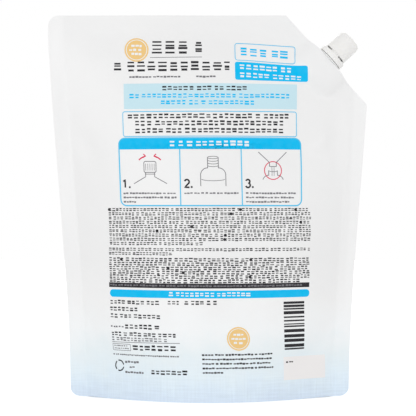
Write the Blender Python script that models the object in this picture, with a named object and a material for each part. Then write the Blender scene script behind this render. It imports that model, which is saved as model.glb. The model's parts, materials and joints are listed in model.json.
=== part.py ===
"""A full stand-up refill pouch of laminated film, with a screw-capped spout in its cut corner.

The pouch stands on its base with its printed rear side towards -Y. +X is to the right, +Z is up, and
the origin is the middle of the base, on the surface that the pouch stands on. Lengths are in metres.

The spout, its tamper band and its cap are turned about one axis, square to the cut corner. Their
outlines are lists of (radius, height), with the height measured out along that axis from the
underside of the tamper band.
"""

import math

import bmesh
import bpy
import numpy as np

# Film, as the pouch lies flat
FILM_WIDTH = 0.210
FILM_HEIGHT = 0.2475
SIDE_SEAL = 0.010
TOP_SEAL = 0.010
CORNER_SEAL = 0.010
SKIRT_SEAL = 0.0085
SEAL_THICKNESS = 0.0005
TOP_CORNER_RADIUS = 0.007
BASE_CORNER_RADIUS = 0.0055
CORNER_CUT_WIDTH = 0.0555
CORNER_CUT_ANGLE = math.radians(47.8)

# Filled form. A deep section is a narrow one, because the film doesn't stretch
BASE_HALF_DEPTH = 0.038
FILM_FLATTENING = 0.9
SECTION_POWER = 1.05
BASE_SECTION_POWER = 1.25
BASE_SECTION_HEIGHT = 0.050
HEIGHT_POWER = 1.7
TAPER_POWER = 0.66
SHOULDER_LENGTH = 0.022
CUT_SHOULDER_LENGTH = 0.016
BELLY_SWELL = 0.0020
BELLY_TOP = 0.125
CORNER_LIFT = 0.0009
CORNER_LIFT_POWER = 6
SEAM_WAVE = 0.0007
SEAM_WAVE_LENGTH = 0.095
SEAM_WAVE_PHASE = 0.7
SEAM_WAVE_FOOT = 0.050
SEAM_CLEAR_OF_SPOUT = 0.030
SEAM_CLEAR_FADE = 0.020
FREE_TOP_SHARE = 0.85
FREE_SIDE_SHARE = 0.90
FOLD_ONSET = 0.006

# Underside, where the gusset is folded up between the two skirts
SKIRT_THICKNESS = 0.0006
GUSSET_GROOVE = 0.007
GUSSET_SEAL_RISE = 0.010
GUSSET_FOLD_RISE = 0.032
GUSSET_FLAT_SHARE = 0.55
GUSSET_FOLD_SHARE = 0.97
GUSSET_SEAL_POWER = 4
GUSSET_NARROWING = 1.8
SKIRT_SHARE_OF_DEPTH = 0.3
GUSSET_PROFILE = ((0.02, 1.0), (0.45, 0.3), (1.0, 0.0))

# Soft folds of the filled film: each end as (x, z), then half width and rise. A dent is negative
FRONT_FOLDS = (
    ((0.046, 0.222), (0.012, 0.176), 0.0085, -0.0013),
    ((0.062, 0.200), (0.050, 0.148), 0.0090, -0.0015),
    ((0.084, 0.186), (0.066, 0.158), 0.0060, 0.0012),
    ((0.091, 0.178), (0.084, 0.140), 0.0055, -0.0009),
    ((-0.060, 0.226), (-0.034, 0.190), 0.0100, -0.0010),
    ((-0.090, 0.170), (-0.070, 0.150), 0.0070, -0.0009),
    ((-0.084, 0.050), (-0.052, 0.018), 0.0075, -0.0016),
    ((0.084, 0.050), (0.052, 0.018), 0.0075, -0.0016),
)
REAR_FOLDS = (
    ((0.052, 0.216), (0.026, 0.166), 0.0090, -0.0014),
    ((0.070, 0.198), (0.066, 0.150), 0.0080, -0.0012),
    ((-0.066, 0.224), (-0.040, 0.184), 0.0100, -0.0012),
    ((-0.086, 0.130), (-0.062, 0.118), 0.0070, -0.0009),
    ((-0.084, 0.048), (-0.050, 0.017), 0.0075, -0.0016),
    ((0.084, 0.048), (0.050, 0.017), 0.0075, -0.0016),
)

# Spout
SPOUT_ALONG_CUT = 0.0402
SPOUT_STANDOFF = 0.0023
TAB_FLARE = 0.0012
TAB_HALF_LENGTH = 0.0205
BORE_RADIUS = 0.0046
NECK_WALL = 0.0013
NECK_HEIGHT = 0.0162
NECK_RIM_CHAMFER = 0.0004
FLANGE_RADIUS = 0.0088
FLANGE_THICKNESS = 0.0005
COLLAR_STEP = 0.0005
BEAD_STEP = 0.0013
BEAD_UNDERSIDE = 0.0019
BEAD_LAND = 0.0004
BEAD_CONE = 0.0011
BOAT_HALF_LENGTH = 0.017
BOAT_WALL = 0.0010
BOAT_SHOULDER = 0.0002
BOAT_TIP = 0.0004
BOAT_ROUNDNESS = 0.75
BOAT_INSET = 0.0008
BOAT_DEPTH = 0.0088
BOAT_RIBS = 4
BOAT_GROOVE = 0.00025
FILM_OVER_BOAT = 0.0005
BOAT_TIP_FADE = 0.005
BOAT_END_FADE = 0.020

# Thread shared by the neck and the cap
THREAD_STARTS = 2
THREAD_LEAD = 0.006
THREAD_HEIGHT = 0.00065
THREAD_ROOT_WIDTH = 0.0016
THREAD_CREST_WIDTH = 0.0007
THREAD_START = 0.0062
NECK_THREAD_TURNS = 1.2
CAP_THREAD_TURNS = 1.0
THREAD_SINK = 0.0002
THREAD_FADE = math.radians(36)
THREAD_END_WIDTH_SHARE = 0.4
THREAD_END_DIP = 0.15

# Tamper band and cap
BAND_WALL = 0.0011
BAND_TAPER = 0.0002
BAND_LIP_HEIGHT = 0.0015
BAND_SLIT_FLOOR = 0.0036
BAND_LANDS = 4
BAND_LAND_ANGLE = math.radians(44)
BAND_LAND_TURN = math.radians(-94)
BAND_CHAMFER = 0.0003
CAP_BASE = 0.0047
CAP_LENGTH = 0.0145
CAP_WALL = 0.0011
CAP_TAPER = 0.0002
CAP_TOP_THICKNESS = 0.0015
CAP_TOP_CROWN = 0.0004
CAP_EDGE_RADIUS = 0.0030
CAP_INNER_CHAMFER = 0.0014
CAP_CHAMFER = 0.0002
PLUG_WALL = 0.0006
PLUG_DEPTH = 0.0018

# Room left between pieces
CLEARANCE = 0.0003
BAND_CLEARANCE = 0.0004
LIP_CLEARANCE = 0.0007
CUTTER_REACH = 0.002

# How finely the meshes are divided
BODY_COLUMNS = 28
LEFT_SEAL_COLUMNS = 2
RIGHT_SEAL_COLUMNS = 5
BODY_ROWS = 15
CUT_ROWS = 15
TURNED_SEGMENTS = 40
THREAD_STEPS_PER_TURN = 36
BOAT_SIDE_POINTS = 13
EDGE_SAMPLES = 2000

# Sizes that follow from the ones above
SEAL_HALF = SEAL_THICKNESS / 2
NECK_RADIUS = BORE_RADIUS + NECK_WALL
COLLAR_RADIUS = NECK_RADIUS + COLLAR_STEP
BEAD_RADIUS = COLLAR_RADIUS + BEAD_STEP
NECK_CREST = NECK_RADIUS + THREAD_HEIGHT
CAP_BORE = NECK_CREST + CLEARANCE
CAP_CREST = CAP_BORE - THREAD_HEIGHT
CAP_RADIUS = CAP_BORE + CAP_WALL
CAP_TOP = CAP_BASE + CAP_LENGTH
BAND_BORE = BEAD_RADIUS + BAND_CLEARANCE
BAND_RADIUS = BAND_BORE + BAND_WALL
BAND_LIP_RADIUS = COLLAR_RADIUS + LIP_CLEARANCE
FLANGE_TOP = -CLEARANCE
FLANGE_UNDERSIDE = FLANGE_TOP - FLANGE_THICKNESS
FILM_EDGE = TAB_FLARE - SPOUT_STANDOFF
BOAT_TOP = -SPOUT_STANDOFF - BOAT_INSET
BOAT_END = BOAT_TOP - BOAT_DEPTH
BOAT_RIB = BOAT_DEPTH / (2 * BOAT_RIBS - 1)
STUB_RADIUS = BORE_RADIUS + BOAT_WALL
STUB_FOOT = BOAT_TOP - BOAT_RIB / 2
BOAT_HALF_THICKNESS = STUB_RADIUS + BOAT_SHOULDER
TOP_LINE = FILM_HEIGHT - TOP_SEAL
CUT_TOP = (FILM_WIDTH / 2 - CORNER_CUT_WIDTH, FILM_HEIGHT)
CUT_DOWN = (math.cos(CORNER_CUT_ANGLE), -math.sin(CORNER_CUT_ANGLE))
CUT_OUT = (math.sin(CORNER_CUT_ANGLE), math.cos(CORNER_CUT_ANGLE))
SPOUT_X = CUT_TOP[0] + SPOUT_ALONG_CUT * CUT_DOWN[0] + SPOUT_STANDOFF * CUT_OUT[0]
SPOUT_Z = CUT_TOP[1] + SPOUT_ALONG_CUT * CUT_DOWN[1] + SPOUT_STANDOFF * CUT_OUT[1]


# Scene, materials and small mesh tools


def clear_scene():
    for obj in list(bpy.data.objects):
        bpy.data.objects.remove(obj, do_unlink=True)


def plastic(name, colour, roughness):
    material = bpy.data.materials.new(name)
    material.use_nodes = True
    shader = material.node_tree.nodes["Principled BSDF"]
    shader.inputs["Base Color"].default_value = (*colour, 1.0)
    shader.inputs["Roughness"].default_value = roughness
    shader.inputs["Metallic"].default_value = 0.0
    return material


def new_object(name, bm, material=None):
    bmesh.ops.recalc_face_normals(bm, faces=bm.faces)
    mesh = bpy.data.meshes.new(name)
    bm.to_mesh(mesh)
    bm.free()
    obj = bpy.data.objects.new(name, mesh)
    bpy.context.collection.objects.link(obj)
    if material:
        mesh.materials.append(material)
        mesh.shade_smooth()
        mesh.set_sharp_from_angle(angle=math.radians(35))
    return obj


def combine(target, operand, operation):
    """Joins the operand to the target, or cuts it out, and keeps the operand as a hidden guide."""
    modifier = target.modifiers.new(operand.name, "BOOLEAN")
    modifier.operation = operation
    modifier.solver = "EXACT"
    modifier.object = operand
    operand.hide_render = True
    operand.display_type = "WIRE"


def smooth_step(t):
    t = np.clip(t, 0.0, 1.0)
    return t * t * (3.0 - 2.0 * t)


def turned(name, outline, material=None, start=0.0, sweep=2 * math.pi, segments=TURNED_SEGMENTS):
    """A closed outline of (radius, height) turned about Z, all the way round or through one sector."""
    bm = bmesh.new()
    verts = [bm.verts.new((r * math.cos(start), r * math.sin(start), h)) for r, h in outline]
    whole = sweep > 1.999 * math.pi
    edges = [bm.edges.new(pair) for pair in zip(verts, verts[1:])]
    if outline[0][0] > 0 or outline[-1][0] > 0:
        edges.append(bm.edges.new((verts[-1], verts[0])))
    geometry = verts + edges
    if not whole:
        geometry.append(bm.faces.new(verts))
    bmesh.ops.spin(
        bm,
        geom=geometry,
        cent=(0, 0, 0),
        axis=(0, 0, 1),
        angle=sweep,
        steps=segments,
        use_merge=whole,
        use_duplicate=False,
    )
    bmesh.ops.remove_doubles(bm, verts=bm.verts, dist=1e-7)
    return new_object(name, bm, material)


def loft(bm, rings):
    """Quads between closed rings of as many vertices each, with both ends capped."""
    for lower, upper in zip(rings, rings[1:]):
        for i in range(len(lower)):
            j = (i + 1) % len(lower)
            bm.faces.new((lower[i], lower[j], upper[j], upper[i]))
    bm.faces.new(rings[0][::-1])
    bm.faces.new(rings[-1])


# Form of the filled pouch


def half_depth(z):
    """How far the middle of a panel stands out at height z."""
    share = np.clip(z / TOP_LINE, 0.0, 1.0)
    shoulder = np.sqrt(smooth_step((TOP_LINE - z) / SHOULDER_LENGTH))
    return BASE_HALF_DEPTH * shoulder * (1.0 - share**HEIGHT_POWER) ** TAPER_POWER


def half_width(z):
    """Half the width of the pouch at height z, from the flat film and the depth that it wraps."""
    film = FILM_WIDTH - 2 * SIDE_SEAL
    slack = 8.0 / 3.0 * (half_depth(z) / FILM_FLATTENING) ** 2
    chord = (film + np.sqrt(np.maximum(film**2 - 4.0 * slack, 0.0))) / 2.0
    return chord / 2.0 + SIDE_SEAL


def tab_rise(along):
    """How far the cut edge flares out, where the film runs up to the spout's flange."""
    distance = np.abs(along - SPOUT_ALONG_CUT)
    return TAB_FLARE * (1.0 - smooth_step((distance - BAND_RADIUS) / (TAB_HALF_LENGTH - BAND_RADIUS)))


def cut_edge_x(z, inset=0.0):
    """Where the cut edge, or a line that far inside it, lies at height z."""
    along = np.linspace(-0.5 * FILM_HEIGHT, FILM_HEIGHT, EDGE_SAMPLES)
    out = tab_rise(along) * (inset == 0.0) - inset
    x = CUT_TOP[0] + along * CUT_DOWN[0] + out * CUT_OUT[0]
    height = CUT_TOP[1] + along * CUT_DOWN[1] + out * CUT_OUT[1]
    return np.interp(z, height[::-1], x[::-1])


def cut_foot():
    """The height at which the cut edge meets the side of the pouch."""
    heights = np.linspace(0.0, FILM_HEIGHT, EDGE_SAMPLES)
    inside = cut_edge_x(heights) < half_width(heights)
    return float(heights[np.argmax(inside)])


def corner_inset(distance, radius):
    """How far a rounded corner pulls the edge in, that far from the end of the edge."""
    left = np.clip(radius - distance, 0.0, radius)
    return radius - np.sqrt(radius**2 - left**2)


def row_heights():
    """Heights of the rows of the panels, close together at the corners and beside the spout."""
    foot = cut_foot()
    corner = BASE_CORNER_RADIUS * np.array([0.0, 0.15, 0.5, 1.0])
    top = FILM_HEIGHT - TOP_CORNER_RADIUS * np.array([1.0, 0.5, 0.15, 0.0])
    seal = np.array([SKIRT_SEAL, 1.5 * SKIRT_SEAL])
    body = np.linspace(1.5 * SKIRT_SEAL, foot, BODY_ROWS + 1)[1:]
    cut = np.linspace(foot, TOP_LINE, CUT_ROWS + 1)[1:]
    return np.concatenate([corner, seal, body, cut, top])


def column_shares():
    """The columns' places: the seal left of the body, the body from -1 to 1, the seal right of it."""
    left = np.linspace(-2.0, -1.0, LEFT_SEAL_COLUMNS + 1)
    body = np.linspace(-1.0, 1.0, BODY_COLUMNS + 1)[1:]
    right = np.linspace(1.0, 2.0, RIGHT_SEAL_COLUMNS + 1)[1:]
    return np.concatenate([left, body, right])


def panel_places():
    """x and z of every point of a panel, and its share across the body, all as rows by columns."""
    z, share = np.meshgrid(row_heights(), column_shares(), indexing="ij")
    width = half_width(z)
    side = width - corner_inset(z, BASE_CORNER_RADIUS)
    left = -side + corner_inset(FILM_HEIGHT - z, TOP_CORNER_RADIUS)
    right = np.minimum(side, cut_edge_x(z))
    left_line = -width + SIDE_SEAL
    right_line = np.minimum(width - SIDE_SEAL, cut_edge_x(z, CORNER_SEAL))
    x = np.where(
        share <= -1.0,
        left_line + (left_line - left) * (share + 1.0),
        np.where(
            share <= 1.0,
            left_line + (right_line - left_line) * (share + 1.0) / 2.0,
            right_line + (right - right_line) * (share - 1.0),
        ),
    )
    lift = CORNER_LIFT * np.clip(np.abs(x) / width, 0.0, 1.0) ** CORNER_LIFT_POWER
    return x, z + lift * (1.0 - smooth_step(z / SKIRT_SEAL)), share


def spout_frame(x, z):
    """A point of the film as (along, out): along the cut from the spout, and out along its axis."""
    dx = x - SPOUT_X
    dz = z - SPOUT_Z
    return dx * CUT_DOWN[0] + dz * CUT_DOWN[1], dx * CUT_OUT[0] + dz * CUT_OUT[1]


def boat_half(along, margin=0.0):
    """Half thickness of the boat at a place along it, or of its outline grown by a margin."""
    length = BOAT_HALF_LENGTH + margin
    round_part = np.clip(1.0 - (along / length) ** 2, 0.0, 1.0) ** BOAT_ROUNDNESS
    return BOAT_TIP + margin + (BOAT_HALF_THICKNESS - BOAT_TIP) * round_part


def film_over_boat(x, z):
    """How far the film stands out where it wraps the boat of the spout."""
    along, out = spout_frame(x, z)
    half = boat_half(along, CLEARANCE) + FILM_OVER_BOAT
    past_tip = np.abs(along) - BOAT_HALF_LENGTH - CLEARANCE
    past_end = BOAT_END - 2 * CLEARANCE - FILM_OVER_BOAT - out
    beside = 1.0 - smooth_step(past_tip / BOAT_TIP_FADE)
    return half * beside * (1.0 - smooth_step(past_end / BOAT_END_FADE))


def folds(x, z, creases):
    """The rise of the film over a set of soft straight creases, which fade towards both ends."""
    rise = np.zeros_like(x)
    for (x0, z0), (x1, z1), half, height in creases:
        length = math.hypot(x1 - x0, z1 - z0)
        ux, uz = (x1 - x0) / length, (z1 - z0) / length
        along = ((x - x0) * ux + (z - z0) * uz) / length
        across = (x - x0) * uz - (z - z0) * ux
        fade = np.clip(1.0 - (2.0 * along - 1.0) ** 2, 0.0, 1.0)
        rise += height * fade * np.exp(-((across / half) ** 2))
    return rise


def swelling(x, z):
    """How far the liquid pushes a panel out: nothing at the seals, most in the middle of the base."""
    body = np.clip(1.0 - (x / (half_width(z) - SIDE_SEAL)) ** 2, 0.0, 1.0)
    power = SECTION_POWER + (BASE_SECTION_POWER - SECTION_POWER) * (
        1.0 - smooth_step(z / BASE_SECTION_HEIGHT)
    )
    out = spout_frame(x, z)[1]
    inside = np.maximum(-SPOUT_STANDOFF - CORNER_SEAL - out, 0.0)
    return half_depth(z) * body**power * (1.0 - np.exp(-inside / CUT_SHOULDER_LENGTH)), body


def panel_stand_out(x, z, creases):
    """How far one panel of the film stands out from the middle plane."""
    swell, body = swelling(x, z)
    belly_share = np.clip((z - SKIRT_SEAL) / (BELLY_TOP - SKIRT_SEAL), 0.0, 1.0)
    belly = BELLY_SWELL * np.sin(math.pi * belly_share) ** 2 * body
    room = smooth_step(swell / FOLD_ONSET)
    filled = swell + belly + folds(x, z, creases) * room
    boat = film_over_boat(x, z)
    return SEAL_HALF + (filled**4 + boat**4) ** 0.25


def middle_plane(x, z):
    """The free seals wave a little, but not beside the spout."""
    along, out = spout_frame(x, z)
    clear = smooth_step((np.hypot(along, out) - SEAM_CLEAR_OF_SPOUT) / SEAM_CLEAR_FADE)
    free_from = FREE_TOP_SHARE * TOP_LINE
    free = smooth_step((z - free_from) / (FILM_HEIGHT - free_from))
    side = smooth_step((np.abs(x) / half_width(z) - FREE_SIDE_SHARE) / (1.0 - FREE_SIDE_SHARE))
    side *= smooth_step(z / SEAM_WAVE_FOOT)
    wave = np.sin(2 * math.pi * x / SEAM_WAVE_LENGTH + SEAM_WAVE_PHASE) * free
    edge = np.sin(2 * math.pi * z / SEAM_WAVE_LENGTH + np.sign(x)) * side
    return SEAM_WAVE * clear * (wave + edge)


def underside_line(x, z, depth, share):
    """Points across the underside at one column, from the front skirt to the rear one."""
    inner = depth - min(SKIRT_THICKNESS, SKIRT_SHARE_OF_DEPTH * depth)
    groove = GUSSET_GROOVE * min(1.0, inner / (GUSSET_NARROWING * GUSSET_GROOVE))
    seal = SKIRT_SEAL + GUSSET_SEAL_RISE * abs(share) ** GUSSET_SEAL_POWER
    rise = (abs(share) - GUSSET_FLAT_SHARE) / (GUSSET_FOLD_SHARE - GUSSET_FLAT_SHARE)
    middle = GUSSET_FOLD_RISE * float(smooth_step(rise))
    half = [(inner, z)]
    half += [(inner - s * groove, middle + (seal - middle) * q) for s, q in GUSSET_PROFILE]
    front = [(x, -y, height) for y, height in half]
    rear = [(x, y, height) for y, height in reversed(half)]
    return front + [(x, 0.0, middle)] + rear


def stitch(bm, line_a, line_b):
    """Triangles or quads between two lines of vertices, which may have different lengths."""
    i = j = 0
    last_a, last_b = len(line_a) - 1, len(line_b) - 1
    while i < last_a or j < last_b:
        share_a = (i + 1) / last_a if i < last_a else 2.0
        share_b = (j + 1) / last_b if j < last_b else 2.0
        if abs(share_a - share_b) < 1e-9:
            bm.faces.new((line_a[i], line_b[j], line_b[j + 1], line_a[i + 1]))
            i += 1
            j += 1
        elif share_a < share_b:
            bm.faces.new((line_a[i], line_b[j], line_a[i + 1]))
            i += 1
        else:
            bm.faces.new((line_a[i], line_b[j], line_b[j + 1]))
            j += 1


def make_pouch(material):
    bm = bmesh.new()
    x, z, share = panel_places()
    middle = middle_plane(x, z)
    panels = []
    for sign, creases in ((-1.0, FRONT_FOLDS), (1.0, REAR_FOLDS)):
        y = middle + sign * panel_stand_out(x, z, creases)
        places = np.stack([x, y, z], axis=-1)
        panels.append([[bm.verts.new(place) for place in row] for row in places])
    front, rear = panels
    for panel in panels:
        for lower, upper in zip(panel, panel[1:]):
            stitch(bm, lower, upper)
    for column in (0, -1):
        stitch(bm, [row[column] for row in front], [row[column] for row in rear])
    stitch(bm, front[-1], rear[-1])

    lines = []
    for k, (low, high) in enumerate(zip(front[0], rear[0])):
        between = []
        if abs(share[0, k]) < 1.0:
            depth = (high.co.y - low.co.y) / 2
            points = underside_line(low.co.x, low.co.z, depth, share[0, k])
            between = [bm.verts.new(point) for point in points]
        lines.append([low, *between, high])
    for line_a, line_b in zip(lines, lines[1:]):
        stitch(bm, line_a, line_b)
    return new_object("pouch", bm, material)


# Spout


def boat_ring(bm, height, groove=0.0, margin=0.0):
    """One ring of the boat's pointed outline, at a height along the spout's axis."""
    angles = np.linspace(-math.pi / 2, math.pi / 2, BOAT_SIDE_POINTS)
    length = BOAT_HALF_LENGTH + margin
    along = length * np.sin(angles)
    half = boat_half(along, margin) - groove * np.cos(angles) ** 2
    near = [bm.verts.new((a, -h, height)) for a, h in zip(along, half)]
    far = [bm.verts.new((a, h, height)) for a, h in zip(along[::-1], half[::-1])]
    return near + far


def make_boat():
    """The welded part: a pointed block with ribs that the film is sealed to."""
    bm = bmesh.new()
    rings = []
    for k in range(2 * BOAT_RIBS - 1):
        groove = BOAT_GROOVE if k % 2 else 0.0
        slope = 0.3 * BOAT_RIB if k % 2 else 0.0
        rings.append(boat_ring(bm, BOAT_TOP - k * BOAT_RIB - slope, groove))
        rings.append(boat_ring(bm, BOAT_TOP - (k + 1) * BOAT_RIB + slope, groove))
    loft(bm, rings)
    return new_object("boat_block", bm)


def make_pockets():
    """The room that the boat and the round stub above it take up between the two webs of film."""
    bm = bmesh.new()
    low = boat_ring(bm, BOAT_END - CLEARANCE, margin=CLEARANCE)
    high = boat_ring(bm, BOAT_TOP + CLEARANCE, margin=CLEARANCE)
    loft(bm, [low, high])
    radius = STUB_RADIUS + CLEARANCE
    past_edge = FILM_EDGE + FLANGE_RADIUS
    hole = [(0.0, STUB_FOOT), (radius, STUB_FOOT), (radius, past_edge), (0.0, past_edge)]
    return new_object("boat_pocket", bm), turned("stub_pocket", hole)


def thread_ridges(name, root, crest, turns):
    """Ridges of a screw thread that stand from the root radius to the crest radius and fade out."""
    bm = bmesh.new()
    towards_wall = math.copysign(THREAD_SINK, root - crest)
    base = root + towards_wall
    steps = round(turns * THREAD_STEPS_PER_TURN)
    fade_steps = THREAD_FADE / (2 * math.pi / THREAD_STEPS_PER_TURN)
    for start in range(THREAD_STARTS):
        rings = []
        for k in range(steps + 1):
            angle = 2 * math.pi * (start / THREAD_STARTS + turns * k / steps)
            height = THREAD_START + THREAD_LEAD * turns * k / steps
            fade = min(1.0, (k + 0.4) / fade_steps, (steps - k + 0.4) / fade_steps)
            width = THREAD_END_WIDTH_SHARE + (1.0 - THREAD_END_WIDTH_SHARE) * fade
            tip = root + (crest - root) * (fade - THREAD_END_DIP * (1 - fade))
            half_root = THREAD_ROOT_WIDTH / 2 * width
            half_crest = THREAD_CREST_WIDTH / 2 * width
            section = ((base, -half_root), (tip, -half_crest), (tip, half_crest), (base, half_root))
            rings.append(
                [
                    bm.verts.new((r * math.cos(angle), r * math.sin(angle), height + h))
                    for r, h in section
                ]
            )
        loft(bm, rings)
    return new_object(name, bm)


def make_spout(material, axis):
    cone_top = BEAD_UNDERSIDE + BEAD_LAND + BEAD_CONE
    outline = [
        (0.0, STUB_FOOT),
        (STUB_RADIUS, STUB_FOOT),
        (STUB_RADIUS, FLANGE_UNDERSIDE),
        (FLANGE_RADIUS, FLANGE_UNDERSIDE),
        (FLANGE_RADIUS, FLANGE_TOP),
        (COLLAR_RADIUS, FLANGE_TOP),
        (COLLAR_RADIUS, BEAD_UNDERSIDE),
        (BEAD_RADIUS, BEAD_UNDERSIDE),
        (BEAD_RADIUS, BEAD_UNDERSIDE + BEAD_LAND),
        (COLLAR_RADIUS, cone_top),
        (NECK_RADIUS, cone_top + COLLAR_STEP),
        (NECK_RADIUS, NECK_HEIGHT - NECK_RIM_CHAMFER),
        (NECK_RADIUS - NECK_RIM_CHAMFER, NECK_HEIGHT),
        (0.0, NECK_HEIGHT),
    ]
    spout = turned("spout", outline, material)
    low = BOAT_END - CUTTER_REACH
    high = NECK_HEIGHT + CUTTER_REACH
    bore = turned("bore", [(0.0, low), (BORE_RADIUS, low), (BORE_RADIUS, high), (0.0, high)])
    boat = make_boat()
    thread = thread_ridges("neck_thread", NECK_RADIUS, NECK_CREST, NECK_THREAD_TURNS)
    for obj in (spout, bore, boat, thread):
        obj.parent = axis
    combine(spout, boat, "UNION")
    combine(spout, thread, "UNION")
    combine(spout, bore, "DIFFERENCE")
    return spout


# Tamper band and cap


def make_band(material, axis):
    """A ring with a lip that stays under the neck's bead, and lands that bridged it to the cap."""
    land_top = CAP_BASE - CLEARANCE
    outline = [
        (BAND_LIP_RADIUS + 2 * BAND_CHAMFER, 0.0),
        (BAND_RADIUS - BAND_CHAMFER, 0.0),
        (BAND_RADIUS, BAND_CHAMFER),
        (BAND_RADIUS - BAND_TAPER, BAND_SLIT_FLOOR - 2 * BAND_CHAMFER),
        (BAND_BORE, BAND_SLIT_FLOOR + BAND_CHAMFER),
        (CAP_RADIUS, land_top),
        (BAND_LIP_RADIUS, land_top),
        (BAND_LIP_RADIUS, BAND_SLIT_FLOOR),
        (BAND_BORE, BAND_SLIT_FLOOR - BAND_LIP_RADIUS + COLLAR_RADIUS),
        (BAND_BORE, BAND_LIP_HEIGHT),
        (BAND_LIP_RADIUS, BAND_LIP_HEIGHT),
        (BAND_LIP_RADIUS, 2 * BAND_CHAMFER),
    ]
    band = turned("tamper_band", outline, material)
    period = 2 * math.pi / BAND_LANDS
    inner = BAND_LIP_RADIUS - CLEARANCE
    outer = BAND_RADIUS + CLEARANCE
    slit = [(inner, BAND_SLIT_FLOOR), (outer, BAND_SLIT_FLOOR), (outer, CAP_BASE), (inner, CAP_BASE)]
    band.parent = axis
    for k in range(BAND_LANDS):
        start = BAND_LAND_TURN + BAND_LAND_ANGLE / 2 + k * period
        cutter = turned(f"slit_{k + 1}", slit, None, start, period - BAND_LAND_ANGLE, 8)
        cutter.parent = axis
        combine(band, cutter, "DIFFERENCE")
    return band


def make_cap(material, axis):
    """A cup with a round top edge, a crowned top and a plug ring that goes into the bore."""
    top_radius = CAP_RADIUS - CAP_TAPER
    underside = CAP_TOP - CAP_TOP_THICKNESS
    plug_outer = BORE_RADIUS - CLEARANCE
    plug_inner = plug_outer - PLUG_WALL
    plug_end = NECK_HEIGHT - PLUG_DEPTH
    edge_top = CAP_TOP - CAP_TOP_CROWN
    outline = [
        (0.0, underside),
        (plug_inner, underside),
        (plug_inner, plug_end),
        (plug_outer - CAP_CHAMFER, plug_end),
        (plug_outer, plug_end + 2 * CAP_CHAMFER),
        (plug_outer, underside),
        (CAP_BORE - CAP_INNER_CHAMFER, underside),
        (CAP_BORE, underside - CAP_INNER_CHAMFER),
        (CAP_BORE, CAP_BASE + CAP_CHAMFER),
        (CAP_BORE + CAP_CHAMFER, CAP_BASE),
        (CAP_RADIUS - CAP_CHAMFER, CAP_BASE),
        (CAP_RADIUS, CAP_BASE + CAP_CHAMFER),
    ]
    for angle in np.radians([0.0, 22.5, 45.0, 67.5, 90.0]):
        r = top_radius - CAP_EDGE_RADIUS * (1 - math.cos(angle))
        outline.append((r, edge_top - CAP_EDGE_RADIUS * (1 - math.sin(angle))))
    outline.append((0.0, CAP_TOP))
    cap = turned("cap", outline, material)
    thread = thread_ridges("cap_thread", CAP_BORE, CAP_CREST, CAP_THREAD_TURNS)
    thread.rotation_euler.z = math.pi / THREAD_STARTS
    for obj in (cap, thread):
        obj.parent = axis
    combine(cap, thread, "UNION")
    return cap


def make_axis():
    """An empty at the underside of the tamper band, with its Z along the spout."""
    axis = bpy.data.objects.new("spout_axis", None)
    axis.location = (SPOUT_X, 0.0, SPOUT_Z)
    axis.rotation_euler = (0.0, CORNER_CUT_ANGLE, 0.0)
    bpy.context.collection.objects.link(axis)
    return axis


def main():
    clear_scene()
    film = plastic("white_laminate_film", (0.84, 0.87, 0.90), 0.32)
    moulded = plastic("natural_white_polyethylene", (0.86, 0.86, 0.84), 0.38)
    axis = make_axis()
    pouch = make_pouch(film)
    for pocket in make_pockets():
        pocket.parent = axis
        combine(pouch, pocket, "DIFFERENCE")
    make_spout(moulded, axis)
    make_band(moulded, axis)
    make_cap(moulded, axis)


main()
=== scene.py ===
# %% [markdown]
# # A full refill pouch with a screw-capped spout
#
# A stand-up refill pouch is two webs of printed film, heat-sealed along both sides and the top, with a
# third web folded in between them at the bottom. Filled, it is a soft body with stiff flat edges. This
# file dresses the measured solid of such a pouch: it makes the film, its print and the moulded parts,
# and then lights and frames them.
#
# The solid already knows every size that matters for fit and motion, so it is loaded first, and
# everything else is made to lie on it.

# %% Load the measured model
import json
import math
import random

import bmesh
import bpy
import numpy as np
from mathutils import Matrix, Vector


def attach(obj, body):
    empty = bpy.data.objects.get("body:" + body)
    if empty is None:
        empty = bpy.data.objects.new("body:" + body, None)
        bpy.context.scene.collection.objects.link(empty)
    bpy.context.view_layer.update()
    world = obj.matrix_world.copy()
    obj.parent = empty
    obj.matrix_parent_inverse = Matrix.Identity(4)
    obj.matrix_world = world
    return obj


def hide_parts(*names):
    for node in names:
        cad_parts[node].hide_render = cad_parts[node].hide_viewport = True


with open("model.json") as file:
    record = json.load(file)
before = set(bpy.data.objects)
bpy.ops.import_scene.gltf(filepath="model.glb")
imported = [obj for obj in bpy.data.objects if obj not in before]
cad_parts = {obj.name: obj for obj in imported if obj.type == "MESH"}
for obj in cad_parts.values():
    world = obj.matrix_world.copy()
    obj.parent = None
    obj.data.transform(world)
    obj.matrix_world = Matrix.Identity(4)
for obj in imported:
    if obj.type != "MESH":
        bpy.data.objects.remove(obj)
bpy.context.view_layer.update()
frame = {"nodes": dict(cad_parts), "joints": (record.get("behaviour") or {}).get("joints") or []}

MM = 0.001
joints = {joint["name"]: joint for joint in frame["joints"]}
print("nodes:", ", ".join(sorted(frame["nodes"])))

# %% [markdown]
# ## Colours and shader nodes
#
# People pick colours in sRGB, as hex, but shaders add up light in linear numbers. One function turns
# the first into the second. A second function adds a node to a material, sets its options, and either
# links or sets each input, so that a whole material reads as a short list.

# %% Colour and node helpers
def linear(hex_colour):
    """An sRGB hex colour as the linear colour that a shader expects."""
    parts = [int(hex_colour[i : i + 2], 16) / 255 for i in (1, 3, 5)]
    return tuple(c / 12.92 if c <= 0.04045 else ((c + 0.055) / 1.055) ** 2.4 for c in parts) + (1.0,)


def add_node(material, kind, inputs=None, **options):
    """Adds one node. An input that is given a socket is linked, and any other value is set."""
    tree = material.node_tree
    node = tree.nodes.new(kind)
    for option, value in options.items():
        setattr(node, option, value)
    for name, value in (inputs or {}).items():
        if isinstance(value, bpy.types.NodeSocket):
            tree.links.new(value, node.inputs[name])
        else:
            node.inputs[name].default_value = value
    return node


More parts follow.
